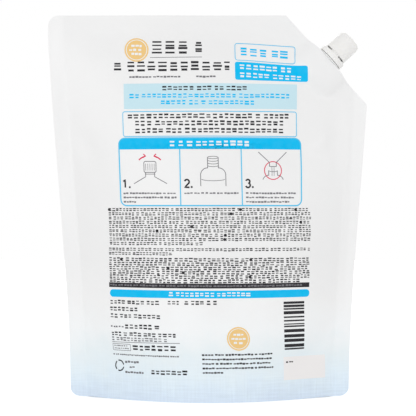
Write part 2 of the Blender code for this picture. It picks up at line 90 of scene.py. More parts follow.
def new_material(name, **sockets):
    """A material with one Principled shader, whose sockets are set by name."""
    material = bpy.data.materials.new(name)
    material.use_nodes = True
    shader = material.node_tree.nodes["Principled BSDF"]
    for socket, value in sockets.items():
        shader.inputs[socket.replace("_", " ")].default_value = value
    return material, shader


# %% [markdown]
# ## The camera
#
# The pack was photographed square-on with a long lens from a little over a metre away. A long lens
# keeps the sides parallel. The picture is square, so one pixel at the plane of the side seals is
# 0.65 mm, and the camera stands at half the height of the pouch.

# %% Camera and view
PICTURE_PIXELS = 416
PIXEL = 0.6493 * MM
CAMERA_DISTANCE = 1.150
CAMERA_HEIGHT = 0.1225
CAMERA_SIDE = -1.7 * PIXEL
SENSOR = 36.0

camera = bpy.data.objects.new("camera", bpy.data.cameras.new("camera"))
bpy.context.collection.objects.link(camera)
camera.data.sensor_width = SENSOR
camera.data.lens = SENSOR * CAMERA_DISTANCE / (PICTURE_PIXELS * PIXEL)
camera.location = (CAMERA_SIDE, -CAMERA_DISTANCE, CAMERA_HEIGHT)
camera.rotation_euler = (math.radians(90), 0.0, 0.0)
bpy.context.scene.camera = camera
bpy.context.scene.view_settings.view_transform = "Standard"
print("lens in mm:", round(camera.data.lens, 1))

# %% [markdown]
# ## Light, floor and background
#
# White film on white needs soft light from all round. The world and the pale floor give that even
# part. Two large softboxes stand low in front, left and right, and put a faint slope of grey beside
# the seals. A third stands behind and above, so that the plain side isn't dark. Small lamps would be
# quicker to place, but they burn out the white.
#
# The background is white to the camera, to mirrors and through clear plastic, but lights the scene at
# a plain level.

# %% Background
WORLD_LEVEL = 0.80
BACKGROUND = linear("#FFFFFF")


def make_world():
    """White where it is seen, and a plain level where it lights."""
    world = bpy.data.worlds.new("white_room")
    world.use_nodes = True
    bpy.context.scene.world = world
    backdrop = world.node_tree.nodes["Background"]
    backdrop.inputs["Color"].default_value = BACKGROUND
    path = add_node(world, "ShaderNodeLightPath")
    seen = path.outputs["Is Camera Ray"]
    for ray in ("Is Glossy Ray", "Is Transmission Ray"):
        seen = add_node(
            world, "ShaderNodeMath", {0: seen, 1: path.outputs[ray]}, operation="MAXIMUM"
        ).outputs[0]
    level = add_node(
        world,
        "ShaderNodeMapRange",
        {"Value": seen, "To Min": WORLD_LEVEL, "To Max": 1.0},
    )
    world.node_tree.links.new(level.outputs["Result"], backdrop.inputs["Strength"])


make_world()
print("world level:", WORLD_LEVEL)

# %% [markdown]
# The floor is a sheet of paper. It adds some white of its own where the camera sees it, and more of it
# away from the pouch, so that it shows nothing but a faint shadow round the base.

# %% Floor
FLOOR_HALF = 3.0
FLOOR_FADE = (0.2, 1.2)
FLOOR_WHITE = (0.30, 1.0)


def make_floor():
    """A pale sheet whose own white grows between two distances from the pouch."""
    mesh = bpy.data.meshes.new("floor")
    signs = ((-1, -1), (1, -1), (1, 1), (-1, 1))
    mesh.from_pydata([(a * FLOOR_HALF, b * FLOOR_HALF, 0) for a, b in signs], [], [(0, 1, 2, 3)])
    floor = bpy.data.objects.new("floor", mesh)
    bpy.context.collection.objects.link(floor)
    paper, shader = new_material("matt_white_paper", Roughness=0.9, Specular_IOR_Level=0.1)
    shader.inputs["Base Color"].default_value = linear("#FAFAFA")
    shader.inputs["Emission Color"].default_value = BACKGROUND
    path = add_node(paper, "ShaderNodeLightPath")
    place = add_node(paper, "ShaderNodeTexCoord").outputs["Object"]
    away = add_node(paper, "ShaderNodeVectorMath", {0: place}, operation="LENGTH")
    lift = add_node(
        paper,
        "ShaderNodeMapRange",
        {
            "Value": away.outputs["Value"],
            "From Min": FLOOR_FADE[0],
            "From Max": FLOOR_FADE[1],
            "To Min": FLOOR_WHITE[0],
            "To Max": FLOOR_WHITE[1],
        },
    )
    seen = add_node(
        paper,
        "ShaderNodeMath",
        {0: path.outputs["Is Camera Ray"], 1: lift.outputs["Result"]},
        operation="MULTIPLY",
    )
    paper.node_tree.links.new(seen.outputs[0], shader.inputs["Emission Strength"])
    mesh.materials.append(paper)


make_floor()
print("floor:", 2 * FLOOR_HALF, "m wide")

# %% Softboxes
POUCH_MIDDLE = (0.0, 0.0, 0.12)


def softbox(name, place, size, watts):
    """A large area lamp at a place, turned to face the pouch."""
    lamp = bpy.data.lights.new(name, "AREA")
    lamp.shape = "RECTANGLE"
    lamp.size, lamp.size_y = size
    lamp.energy = watts
    obj = bpy.data.objects.new(name, lamp)
    obj.location = place
    obj.rotation_mode = "QUATERNION"
    toward = Vector(POUCH_MIDDLE) - Vector(place)
    obj.rotation_quaternion = toward.to_track_quat("-Z", "Y")
    bpy.context.collection.objects.link(obj)
    print(name + ":", watts, "W at", round(toward.length, 2), "m")


softbox("key_softbox", (-0.9, -1.6, 0.35), (1.2, 1.0), 5.0)
softbox("fill_softbox", (1.2, -1.5, 0.15), (1.2, 0.7), 3.2)
softbox("rear_softbox", (0.3, 1.6, 0.9), (1.4, 1.0), 3.2)

# %% [markdown]
# ## The form of the filled film
#
# Film bends easily but doesn't stretch. So where the liquid pushes the two panels far apart, the side
# edges are drawn in, and the pouch is narrow at its base and wide at its top. The same rule gives the
# print its place: a point that is 60 mm from the edge on the flat film is still 60 mm from it, measured
# along the curved surface.
#
# The panels are worked out as grids of points. Rows run across the pouch, and columns run up from the
# base and crowd together towards the cut corner. Lengths here are in millimetres.

# %% Sizes of the film
FILM_WIDTH = 210.0
FILM_HEIGHT = 247.5
SEAL = 10.0
SKIRT = 8.5
HALF_SEAL = 0.25
TOP_RADIUS = 7.0
BASE_RADIUS = 5.5
BASE_DEPTH = 38.0
TOP_LINE = FILM_HEIGHT - SEAL
CUT_ANGLE = math.atan2(joints["band_turn"]["axis"][0], joints["band_turn"]["axis"][2])
CUT_START = 55.5
CUT_TOP = (FILM_WIDTH / 2 - CUT_START, FILM_HEIGHT)
DOWN = (math.cos(CUT_ANGLE), -math.sin(CUT_ANGLE))
OUT = (math.sin(CUT_ANGLE), math.cos(CUT_ANGLE))
SPOUT = (joints["band_turn"]["pos_m"][0] / MM, joints["band_turn"]["pos_m"][2] / MM)
print("cut corner falls at", round(math.degrees(CUT_ANGLE), 1), "degrees")

# %% [markdown]
# The depth falls from the base to the top seal along a soft curve. It could be drawn by hand, but as a
# rule it also gives the width. A shallow bow with a chord w and a rise d is about w + 8 d² / (3 w) long,
# and the film keeps its length, so w can be worked out from d.

# %% Depth and width of the filled pouch
HEIGHT_POWER = 1.7
DEPTH_POWER = 0.66
SHOULDER = 22.0
BOW_FILL = 0.9


def smooth(t):
    """A soft step from 0 to 1."""
    t = np.clip(t, 0.0, 1.0)
    return t * t * (3.0 - 2.0 * t)


def half_depth(z):
    """How far the middle of a panel stands out at height z."""
    share = np.clip(z / TOP_LINE, 0.0, 1.0)
    shoulder = np.sqrt(smooth((TOP_LINE - z) / SHOULDER))
    return BASE_DEPTH * shoulder * (1.0 - share**HEIGHT_POWER) ** DEPTH_POWER


def half_width(z):
    """Half the width at height z, once the depth has drawn the edges in."""
    film = FILM_WIDTH - 2 * SEAL
    slack = 8.0 / 3.0 * (half_depth(z) / BOW_FILL) ** 2
    return (film + np.sqrt(film**2 - 4.0 * slack)) / 4.0 + SEAL


print("half width at base and top:", [round(float(half_width(z)), 1) for z in (0.0, FILM_HEIGHT)])

# %% [markdown]
# ### The cut corner
#
# The corner is cut off straight, and the spout is welded into the cut. Beside the spout the film flares
# out a little, as a tab that the welding jaws press on. Both the edge and the inner line of its seal
# come from one rule, so they can't part.

# %% The cut corner
TAB_FLARE = 1.2
TAB_START = 9.2
TAB_REACH = 20.5
CUT_SAMPLES = np.linspace(-130.0, 250.0, 3000)


def spout_frame(x, z):
    """A point as (along, out): along the cut from the spout, and out along its axis."""
    dx, dz = x - SPOUT[0], z - SPOUT[1]
    return dx * DOWN[0] + dz * DOWN[1], dx * OUT[0] + dz * OUT[1]


def cut_edge_x(z, inset=0.0):
    """Where the cut edge, or a line that far inside it, lies at height z."""
    middle = (SPOUT[0] - CUT_TOP[0]) * DOWN[0] + (SPOUT[1] - CUT_TOP[1]) * DOWN[1]
    distance = np.abs(CUT_SAMPLES - middle)
    flare = TAB_FLARE * (1.0 - smooth((distance - TAB_START) / (TAB_REACH - TAB_START)))
    out = flare * (inset == 0.0) - inset
    x = CUT_TOP[0] + CUT_SAMPLES * DOWN[0] + out * OUT[0]
    height = CUT_TOP[1] + CUT_SAMPLES * DOWN[1] + out * OUT[1]
    return np.interp(z, height[::-1], x[::-1])


def corner_inset(distance, radius):
    """How far a round corner lies inside the square one, at a distance from the edge."""
    left = np.clip(radius - distance, 0.0, radius)
    return radius - np.sqrt(radius**2 - left**2)


# %% [markdown]
# The film wraps the pointed block that is welded into the cut, so the block's sizes come first. The
# swell round it fades out past its tips and below its foot.

# %% Film over the welded block
BOAT_LENGTH = 17.0
BOAT_DEPTH = 5.4
BOAT_POWER = 0.75
BOAT_FOOT = -11.9
BOAT_ROOM = 0.3
FILM_AT_TIP = 1.2
FOOT_ROOM = 1.5
TIP_FADE = 5.0
FOOT_FADE = 20.0


def film_over_boat(x, z):
    """How far the film stands out round the block. Its length and depth are half sizes."""
    along, out = spout_frame(x, z)
    reach = BOAT_LENGTH + BOAT_ROOM
    body = np.clip(1.0 - (along / reach) ** 2, 0.0, 1.0) ** BOAT_POWER
    half = FILM_AT_TIP + BOAT_DEPTH * body
    past_tip = np.abs(along) - reach
    past_foot = BOAT_FOOT - FOOT_ROOM - out
    return half * (1.0 - smooth(past_tip / TIP_FADE)) * (1.0 - smooth(past_foot / FOOT_FADE))


# %% [markdown]
# ### Folds and puckers
#
# Full film is never quite even. It folds softly below the spout and over the corners of the base, and
# it puckers where the straight seals hold it back. Sculpting could do that, but a few rules make the
# same folds on every run, and the print can follow them.

# %% Folds and puckers
PUCKER_HEIGHT = 0.34
PUCKER_REACH = 13.0
PUCKER_ENDS = (40.0, 30.0)
PUCKER_WAVES = (3.9, 6.3, 23.0)


def creases(x, z, lines):
    """Soft straight folds: two ends, half width and rise. Each fades towards its ends."""
    rise = np.zeros_like(x)
    for (x0, z0), (x1, z1), half, height in lines:
        length = math.hypot(x1 - x0, z1 - z0)
        ux, uz = (x1 - x0) / length, (z1 - z0) / length
        along = ((x - x0) * ux + (z - z0) * uz) / length
        across = (x - x0) * uz - (z - z0) * ux
        fade = np.clip(1.0 - (2.0 * along - 1.0) ** 2, 0.0, 1.0)
        rise += height * fade * np.exp(-((across / half) ** 2))
    return rise


def gathers(x, z, side):
    """Small puckers beside the side seals, made of two short waves that a long one shifts."""
    short, middle, long = PUCKER_WAVES
    inside = half_width(z) - SEAL - np.abs(x)
    near = np.clip(inside / 3.0, 0.0, 1.0) * np.exp(-np.clip(inside, 0.0, None) / PUCKER_REACH)
    ends = smooth(z / PUCKER_ENDS[0]) * smooth((TOP_LINE - z) / PUCKER_ENDS[1])
    phase = np.sign(x) * 1.7 + side
    wave = np.sin(z / short + phase + 1.1 * np.sin(z / long)) + 0.6 * np.sin(z / middle - 2.0 * phase)
    return PUCKER_HEIGHT * wave * near * ends


# Each fold is two ends on the panel, half its width, and its rise, which is below zero for a groove
FRONT_LINES = (
    ((46.0, 222.0), (12.0, 176.0), 8.5, -1.3),
    ((62.0, 200.0), (50.0, 148.0), 9.0, -1.5),
    ((84.0, 186.0), (66.0, 158.0), 6.0, 1.6),
    ((91.0, 178.0), (84.0, 140.0), 5.5, -1.4),
    ((-60.0, 226.0), (-34.0, 190.0), 10.0, -1.0),
    ((-90.0, 170.0), (-70.0, 150.0), 7.0, -0.9),
    ((-84.0, 50.0), (-52.0, 18.0), 7.5, -1.6),
    ((84.0, 50.0), (52.0, 18.0), 7.5, -1.6),
)
REAR_LINES = (
    ((52.0, 216.0), (26.0, 166.0), 9.0, -1.4),
    ((70.0, 198.0), (66.0, 150.0), 8.0, -1.2),
    ((-66.0, 224.0), (-40.0, 184.0), 10.0, -1.2),
    ((-86.0, 130.0), (-62.0, 118.0), 7.0, -0.9),
    ((-84.0, 48.0), (-50.0, 17.0), 7.5, -1.6),
    ((84.0, 48.0), (50.0, 17.0), 7.5, -1.6),
)

# %% [markdown]
# ### One panel
#
# A panel swells most in its middle and lies flat at every seal. The free seals themselves wave a
# little, because the heat of the bars shrinks the film unevenly.

# %% How far a panel stands out
STANDOFF = 2.3
SWELL_POWER = 1.05
BASE_POWER = 0.2
BASE_REACH = 50.0
CUT_REACH = 16.0
BELLY = 2.0
BELLY_TOP = 125.0
FOLD_ROOM = 6.0


def stand_out(x, z, side, lines):
    """How far one panel stands out from the middle plane."""
    body = np.clip(1.0 - (x / (half_width(z) - SEAL)) ** 2, 0.0, 1.0)
    power = SWELL_POWER + BASE_POWER * (1.0 - smooth(z / BASE_REACH))
    inside = np.maximum(-STANDOFF - SEAL - spout_frame(x, z)[1], 0.0)
    swell = half_depth(z) * body**power * (1.0 - np.exp(-inside / CUT_REACH))
    rise = np.clip((z - SKIRT) / (BELLY_TOP - SKIRT), 0.0, 1.0)
    belly = BELLY * np.sin(math.pi * rise) ** 2 * body
    room = smooth(swell / FOLD_ROOM)
    filled = swell + belly + creases(x, z, lines) * room + gathers(x, z, side) * room
    return HALF_SEAL + (np.clip(filled, 0.0, None) ** 4 + film_over_boat(x, z) ** 4) ** 0.25


WAVE_HEIGHT = 0.7
WAVE_LENGTH = 95.0
STIFF_ROUND_SPOUT = (30.0, 20.0)
FREE_FROM = 0.85


def middle_plane(x, z):
    """The free seals wave a little, but not beside the spout."""
    stiff, fade = STIFF_ROUND_SPOUT
    clear = smooth((np.hypot(*spout_frame(x, z)) - stiff) / fade)
    low = FREE_FROM * TOP_LINE
    free = smooth((z - low) / (FILM_HEIGHT - low))
    side = smooth((np.abs(x) / half_width(z) - 0.9) / 0.1) * smooth(z / BASE_REACH)
    wave = np.sin(2 * math.pi * x / WAVE_LENGTH + 0.7) * free
    edge = np.sin(2 * math.pi * z / WAVE_LENGTH + np.sign(x)) * side
    return WAVE_HEIGHT * clear * (wave + edge)


# %% [markdown]
# ## The film as a mesh
#
# Both panels share one grid of rows and columns, with rows close together at the rounded corners. The
# distance along each row, measured on the surface, is the place on the flat film. It is kept for the
# print and the textures.

# %% Grid of the panels
BODY_COLUMNS = 124
LEFT_COLUMNS = 7
RIGHT_COLUMNS = 10
CORNER_LIFT = 0.9


def row_heights():
    """Heights of the rows, close together at the round corners and in the skirt."""
    base = BASE_RADIUS * (1.0 - np.cos(np.linspace(0.0, math.pi / 2, 7)))
    top = FILM_HEIGHT - TOP_RADIUS * (1.0 - np.cos(np.linspace(math.pi / 2, 0.0, 8)))
    skirt = np.linspace(BASE_RADIUS, SKIRT, 4)[1:]
    body = np.linspace(SKIRT, top[0], 152)[1:-1]
    return np.concatenate([base, skirt, body, top])


def column_shares():
    """Shares of the columns: -1 to 1 across the body, and on to 2 across each side seal."""
    left = np.linspace(-2.0, -1.0, LEFT_COLUMNS + 1)
    body = np.linspace(-1.0, 1.0, BODY_COLUMNS + 1)[1:]
    right = np.linspace(1.0, 2.0, RIGHT_COLUMNS + 1)[1:]
    return np.concatenate([left, body, right])


def panel_grid():
    """x and z of every grid point, and its share across the body."""
    z, share = np.meshgrid(row_heights(), column_shares(), indexing="ij")
    width = half_width(z)
    side = width - corner_inset(z, BASE_RADIUS)
    left = -side + corner_inset(FILM_HEIGHT - z, TOP_RADIUS)
    right = np.minimum(side, cut_edge_x(z))
    left_line = -width + SEAL
    right_line = np.minimum(width - SEAL, cut_edge_x(z, SEAL))
    seal_left = left_line + (left_line - left) * (share + 1.0)
    body = left_line + (right_line - left_line) * (share + 1.0) / 2.0
    seal_right = right_line + (right - right_line) * (share - 1.0)
    x = np.where(share <= -1.0, seal_left, np.where(share <= 1.0, body, seal_right))
    lift = CORNER_LIFT * np.clip(np.abs(x) / width, 0.0, 1.0) ** 6 * (1.0 - smooth(z / SKIRT))
    return x, z + lift, z, share


grid_x, grid_z, flat_v, grid_share = panel_grid()
middle_y = middle_plane(grid_x, grid_z)
front_y = middle_y - stand_out(grid_x, grid_z, 0.0, FRONT_LINES)
rear_y = middle_y + stand_out(grid_x, grid_z, 2.0, REAR_LINES)


def flat_across(x, y):
    """Distance along each row on the surface, from the middle of the flat film."""
    step = np.hypot(np.diff(x, axis=1), np.diff(y, axis=1))
    length = np.concatenate([np.zeros((len(x), 1)), np.cumsum(step, axis=1)], axis=1)
    line = length[:, LEFT_COLUMNS : LEFT_COLUMNS + 1]
    return length - line - (FILM_WIDTH / 2 - SEAL)


flat_u = {"front": flat_across(grid_x, front_y), "rear": flat_across(grid_x, rear_y)}
print("grid:", grid_x.shape, "points a panel")

# %% [markdown]
# ## The folded base
#
# A third web, the gusset, is folded up between the panels and sealed to them along a curve that is
# higher at the sides. When the pouch is filled, the fold opens into a floor, and the sealed skirt
# round it is what the pouch stands on. The floor is built as lines of points from the front panel to
# the rear one, one line for each column of the grid, so it joins both panels without a seam.

# %% Underside of the pouch
SKIRT_WALL = 0.6
SEAL_RISE = 10.0
FLOOR_RISE = 32.0
FLAT_FLOOR = (0.55, 0.42)
FLOOR_SLOPE = 7.0
FULL_DEPTH = 12.6
SLOPE_POWER = 2.4
SLOPE_SHARES = np.array([0.02, 0.08, 0.18, 0.32, 0.48, 0.68, 0.88, 1.0])


def underside_line(x, z, depth, share):
    """Points across the underside at one column: skirt, groove, gusset and the mirror of them."""
    inner = depth - min(SKIRT_WALL, 0.3 * depth)
    slope = FLOOR_SLOPE * min(1.0, inner / FULL_DEPTH)
    seal = SKIRT + SEAL_RISE * abs(share) ** 4
    middle = FLOOR_RISE * float(smooth((abs(share) - FLAT_FLOOR[0]) / FLAT_FLOOR[1]))
    half = [(inner, z), (inner, z + 0.5 * (seal - z))]
    for s in SLOPE_SHARES:
        half.append((inner - s * slope, middle + (seal - middle) * (1.0 - s) ** SLOPE_POWER))
    inner_edge = half[-1][0]
    half += [(inner_edge * s, middle) for s in (0.75, 0.5, 0.25)]
    front = [(x, -y, height) for y, height in half]
    rear = [(x, y, height) for y, height in reversed(half)]
    return front + [(x, 0.0, middle)] + rear


def stitch(faces, line_a, line_b):
    """Quads, or triangles where two lines of vertices have different lengths."""
    i = j = 0
    last_a, last_b = len(line_a) - 1, len(line_b) - 1
    while i < last_a or j < last_b:
        share_a = (i + 1) / last_a if i < last_a else 2.0
        share_b = (j + 1) / last_b if j < last_b else 2.0
        if abs(share_a - share_b) < 1e-9:
            faces.append((line_a[i], line_b[j], line_b[j + 1], line_a[i + 1]))
            i += 1
            j += 1
        elif share_a < share_b:
            faces.append((line_a[i], line_b[j], line_a[i + 1]))
            i += 1
        else:
            faces.append((line_a[i], line_b[j], line_b[j + 1]))
            j += 1


# %% [markdown]
# ## One closed skin
#
# A solid made of loose sheets would show gaps, and it couldn't be cut for the spout's socket. So the
# panels, the thin edges between them and the folded base share their points and close into one skin.

# %% Points of the film
WEB_EDGE = 0.24
EDGE_SINK = 0.7
places, flats = [], []


def put(place, flat):
    """Adds one point, with its place on the flat film, and gives back its number."""
    places.append(place)
    flats.append(flat)
    return len(places) - 1


def put_panel(u, y):
    """The points of one panel, row by row."""
    rows, columns = grid_x.shape
    return [
        [put((grid_x[i, j], y[i, j], grid_z[i, j]), (u[i, j], flat_v[i, j])) for j in range(columns)]
        for i in range(rows)
    ]


def edge_line(low, high):
    """Across the right-hand edge. Where the webs part round the block, it sits a little below them."""
    x, y0, z = places[low]
    y1 = places[high][1]
    web = min(WEB_EDGE, 0.45 * (y1 - y0))
    gap = (y1 - y0) / 2 - HALF_SEAL
    sink = min(EDGE_SINK, 0.5 * max(gap, 0.0))
    deep_x, deep_z = x - sink * OUT[0], z - sink * OUT[1]
    line = [(x, y0 + web, z), (deep_x, y0 + web, deep_z), (deep_x, y1 - web, deep_z), (x, y1 - web, z)]
    return [low, *(put(point, flats[low]) for point in line), high]


def base_line(low, high, share):
    """Across the underside. There is nothing between the webs where they are sealed together."""
    if abs(share) >= 1.0:
        return [low, high]
    x, y0, z = places[low]
    depth = (places[high][1] - y0) / 2
    line = underside_line(x, z, depth, share)
    between = [put(point, (flats[low][0], -1.0 - (depth - abs(point[1])))) for point in line]
    return [low, *between, high]


# %% Build the film
FLAT_SPAN = 250.0
SHARP_ANGLE = math.radians(40)


def film_faces():
    """The faces of the whole skin."""
    front = put_panel(flat_u["front"], front_y)
    rear = put_panel(flat_u["rear"], rear_y)
    edges = [edge_line(low[-1], high[-1]) for low, high in zip(front, rear)]
    base = [base_line(front[0][j], rear[0][j], share) for j, share in enumerate(grid_share[0])]
    faces = []
    for lines in (front, rear):
        for line_a, line_b in zip(lines, lines[1:]):
            stitch(faces, line_a, line_b)
    stitch(faces, [line[0] for line in front], [line[0] for line in rear])
    stitch(faces, front[-1], rear[-1])
    for line_a, line_b in zip(edges, edges[1:]):
        stitch(faces, line_a, line_b)
    faces.extend((tuple(edges[-1]), tuple(edges[0])))
    for line_a, line_b in zip(base, base[1:]):
        stitch(faces, line_a, line_b)
    return faces


def make_film():
    """The skin as an object, with its place on the flat film as its UV map."""
    faces = film_faces()
    mesh = bpy.data.meshes.new("film_pouch")
    mesh.from_pydata([[c * MM for c in place] for place in places], [], faces)
    sheet = mesh.uv_layers.new(name="flat_film")
    for loop in mesh.loops:
        u, v = flats[loop.vertex_index]
        sheet.data[loop.index].uv = ((u + FILM_WIDTH / 2) / FLAT_SPAN, v / FLAT_SPAN)
    bm = bmesh.new()
    bm.from_mesh(mesh)
    bmesh.ops.recalc_face_normals(bm, faces=bm.faces)
    bm.to_mesh(mesh)
    bm.free()
    mesh.shade_smooth()
    mesh.set_sharp_from_angle(angle=SHARP_ANGLE)
    film = bpy.data.objects.new("film_pouch", mesh)
    bpy.context.collection.objects.link(film)
    return film


film = make_film()
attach(film, "bag")
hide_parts("pouch")
print("film:", len(film.data.polygons), "faces")

# %% [markdown]
# ## What the film is made of
#
# The film is polyester, which is glossy and stiff, laminated to polyethylene, which seals. White ink
# under the polyester makes it opaque. So the eye gets an even white with a soft sheen, not a mirror,
# because the film is never quite flat. All of its patterns are laid out in millimetres on the flat
# film, so that they bend and narrow with the pouch.

# %% Millimetres on the flat film
def chain(material, first, *steps):
    """Passes a value through a row of maths steps, each an operation and one more number or socket."""
    value = first
    for operation, other in steps:
        value = add_node(material, "ShaderNodeMath", {0: value, 1: other}, operation=operation).outputs[0]
    return value


def flat_place(material):
    """The place on the flat film: as a vector, across, and up."""
    sheet = add_node(material, "ShaderNodeTexCoord").outputs["UV"]
    flat = add_node(material, "ShaderNodeVectorMath", {0: sheet, "Scale": FLAT_SPAN}, operation="SCALE")
    split = add_node(material, "ShaderNodeSeparateXYZ", {0: flat.outputs[0]})
    return flat.outputs[0], split.outputs[0], split.outputs[1]


# %% [markdown]
# ### The blue foot, and painted light above it
#
# A pale blue is printed over the lowest 45 mm or so, and fades out with a cloudy edge. A colour ramp up
# the film gives the fade, and slow noise moves the ramp up and down by some millimetres. Near the base
# the blue has faint threads in it, across and up, like the fibres of paper. Above the blue, up to about
# 90 mm, the white is painted a little lighter than higher up, for the light that the floor throws on the
# low part of the pouch.

# %% Blue foot
TINT_HEIGHT = 90.0
# The stops at 0.50 and 0.70 are whiter than the top one: painted light from the floor below, not print
TINT_AND_GLOW_STOPS = (
    (0.0, "#DEECFB"),
    (0.09, "#E2F0FC"),
    (0.19, "#E9F5FC"),
    (0.33, "#EEF6F9"),
    (0.50, "#F8FAFB"),
    (0.70, "#F6F6F6"),
    (1.0, "#F2F2F2"),
)
CLOUD_SIZE = 22.0
CLOUD_DRIFT = 26.0
FIBRES = ((0.05, 0.8, 0.0), (0.8, 0.05, 0.0))
FIBRE_FADE = (30.0, 6.0)
FIBRE_STRENGTH = 0.16


def blue_foot_and_glow(laminate, flat, up):
    """The tint's colour with the painted light above it, and how far up its ramp a point is."""
    cloud = add_node(
        laminate,
        "ShaderNodeTexNoise",
        {"Vector": flat, "Scale": 1 / CLOUD_SIZE, "Detail": 5.0, "Roughness": 0.62},
    )
    drift = chain(laminate, cloud.outputs["Fac"], ("SUBTRACT", 0.5), ("MULTIPLY", CLOUD_DRIFT))
    share = chain(laminate, up, ("ADD", drift), ("DIVIDE", TINT_HEIGHT))
    tone = add_node(laminate, "ShaderNodeValToRGB", {"Fac": share})
    ramp = tone.color_ramp
    for k, (position, colour) in enumerate(TINT_AND_GLOW_STOPS):
        stop = ramp.elements[k] if k < 2 else ramp.elements.new(position)
        stop.position = position
        stop.color = linear(colour)
    return tone.outputs["Color"], share


def fibres(laminate, flat, up, colour):
    """The colour with faint threads in it: noise that is stretched along each way in turn."""
    threads = []
    for stretch in FIBRES:
        drawn = add_node(laminate, "ShaderNodeVectorMath", {0: flat, 1: stretch}, operation="MULTIPLY")
        streak = add_node(
            laminate, "ShaderNodeTexNoise", {"Vector": drawn.outputs[0], "Scale": 1.0, "Detail": 2.0}
        )
        threads.append(streak.outputs["Fac"])
    foot = add_node(
        laminate,
        "ShaderNodeMapRange",
        {"Value": up, "From Min": FIBRE_FADE[0], "From Max": FIBRE_FADE[1], "To Max": FIBRE_STRENGTH},
    )
    weave = chain(laminate, threads[0], ("ADD", threads[1]), ("SUBTRACT", 1.0))
    level = chain(laminate, weave, ("MULTIPLY", foot.outputs["Result"]), ("ADD", 1.0))
    return add_node(
        laminate, "ShaderNodeVectorMath", {0: colour, "Scale": level}, operation="SCALE"
    ).outputs[0]


print("tint stops, in mm up the film:", [round(position * TINT_HEIGHT) for position, _ in TINT_AND_GLOW_STOPS])

# %% [markdown]
# ### Seals and relief
#
# Where two webs are sealed into one, there is no liquid behind them, and light from behind shines
# through.
# That glow is painted: the side seals are given a whiter colour. The hot bars also left a fine lattice on
# the skirt. The real one is finer than the 1.3 mm used here, which is drawn that coarse so that it shows.
# All over, the film has slow ripples, which break up its sheen.

# %% Seals and relief
# Painted light: the side seals are mixed towards this white for the light that shines through them from
# behind
SEAL_BACKLIGHT_WHITE = linear("#FBFBFB")
SEAL_BACKLIGHT = 0.35
LATTICE_PITCH = 1.3
LATTICE_DEPTH = 0.03
RIPPLE_SIZE = 9.0
RIPPLE_DEPTH = 0.16


def painted_seal_backlight(laminate, across, share, colour):
    """The colour with painted light on the side seals: a whiter white, and more of it above the blue
    foot.
    """
    outward = chain(laminate, across, ("SUBTRACT", FILM_WIDTH / 2), ("ABSOLUTE", 0.0))
    line = FILM_WIDTH / 2 - SEAL
    # How much painted glow of light from behind each point of the side seals gets
    backlit = add_node(
        laminate,
        "ShaderNodeMapRange",
        {"Value": outward, "From Min": line - 1.0, "From Max": line + 1.0, "To Max": SEAL_BACKLIGHT},
    )
    above = chain(laminate, share, ("MINIMUM", 1.0), ("MAXIMUM", 0.0))
    amount = chain(laminate, above, ("MULTIPLY", backlit.outputs["Result"]))
    # On the Mix node, sockets 6 and 7 are its two colours, and output 2 is the mixed one
    whiter = add_node(
        laminate, "ShaderNodeMix", {0: amount, 6: colour, 7: SEAL_BACKLIGHT_WHITE}, data_type="RGBA"
    )
    return whiter.outputs[2]


def pressed_relief(laminate, flat, across, up):
    """A normal that is bent by the ripples and, on the skirt, by the lattice."""
    turn = 2 * math.pi / LATTICE_PITCH
    rising = chain(laminate, across, ("ADD", up), ("MULTIPLY", turn), ("SINE", 0.0))
    falling = chain(laminate, across, ("SUBTRACT", up), ("MULTIPLY", turn), ("SINE", 0.0))
    skirt = add_node(
        laminate, "ShaderNodeMapRange", {"Value": up, "From Min": SKIRT + 1.0, "From Max": SKIRT - 1.0}
    )
    lattice = chain(laminate, rising, ("MAXIMUM", falling), ("MULTIPLY", skirt.outputs["Result"]))
    pressed = chain(laminate, lattice, ("MULTIPLY", LATTICE_DEPTH))
    ripple = add_node(
        laminate,
        "ShaderNodeTexNoise",
        {"Vector": flat, "Scale": 1 / RIPPLE_SIZE, "Detail": 2.0, "Roughness": 0.5},
    )
    relief = chain(laminate, ripple.outputs["Fac"], ("MULTIPLY", RIPPLE_DEPTH), ("ADD", pressed))
    bump = add_node(laminate, "ShaderNodeBump", {"Height": relief, "Strength": 1.0, "Distance": MM})
    return bump.outputs["Normal"]


# %% Film material
def make_laminate():
    """White ink under clear polyester: calendered film, so smooth, with a soft sheen."""
    laminate, shader = new_material(
        "white_polyester_laminate",
        Roughness=0.36,
        IOR=1.5,
        Specular_IOR_Level=0.42,
        Coat_Weight=0.12,
        Coat_Roughness=0.22,
    )
    flat, across, up = flat_place(laminate)
    # The tint holds the printed blue and the painted lighter band above it
    tint, share = blue_foot_and_glow(laminate, flat, up)
    printed = fibres(laminate, flat, up, tint)
    links = laminate.node_tree.links
    links.new(painted_seal_backlight(laminate, across, share, printed), shader.inputs["Base Color"])
    links.new(pressed_relief(laminate, flat, across, up), shader.inputs["Normal"])
    return laminate


film.data.materials.append(make_laminate())
print("film material:", film.data.materials[0].name)

# %% [markdown]
# ## Laying ink on the film
#
# Print could be a picture wrapped round the pouch. Here each patch of ink is instead a real skin, which
# stands a twentieth of a millimetre off the film and follows its curve in small quads. It keeps crisp
# edges from any distance, and each ink is a plain coloured mesh.
#
# Every shape is described on the flat film in millimetres, as the printer's artwork would be: across
# from the middle, and up from the base. A table of film points at each whole millimetre turns those
# into places on the filled pouch.

# %% From flat film to filled pouch
INK_PROUD = 0.05
INK_SUNK = 0.05
INK_STEP = 1.6
SLIP = 2.3
TABLE_U = np.arange(-99.0, 99.5, 1.0)
TABLE_V = np.arange(9.0, 236.5, 1.0)


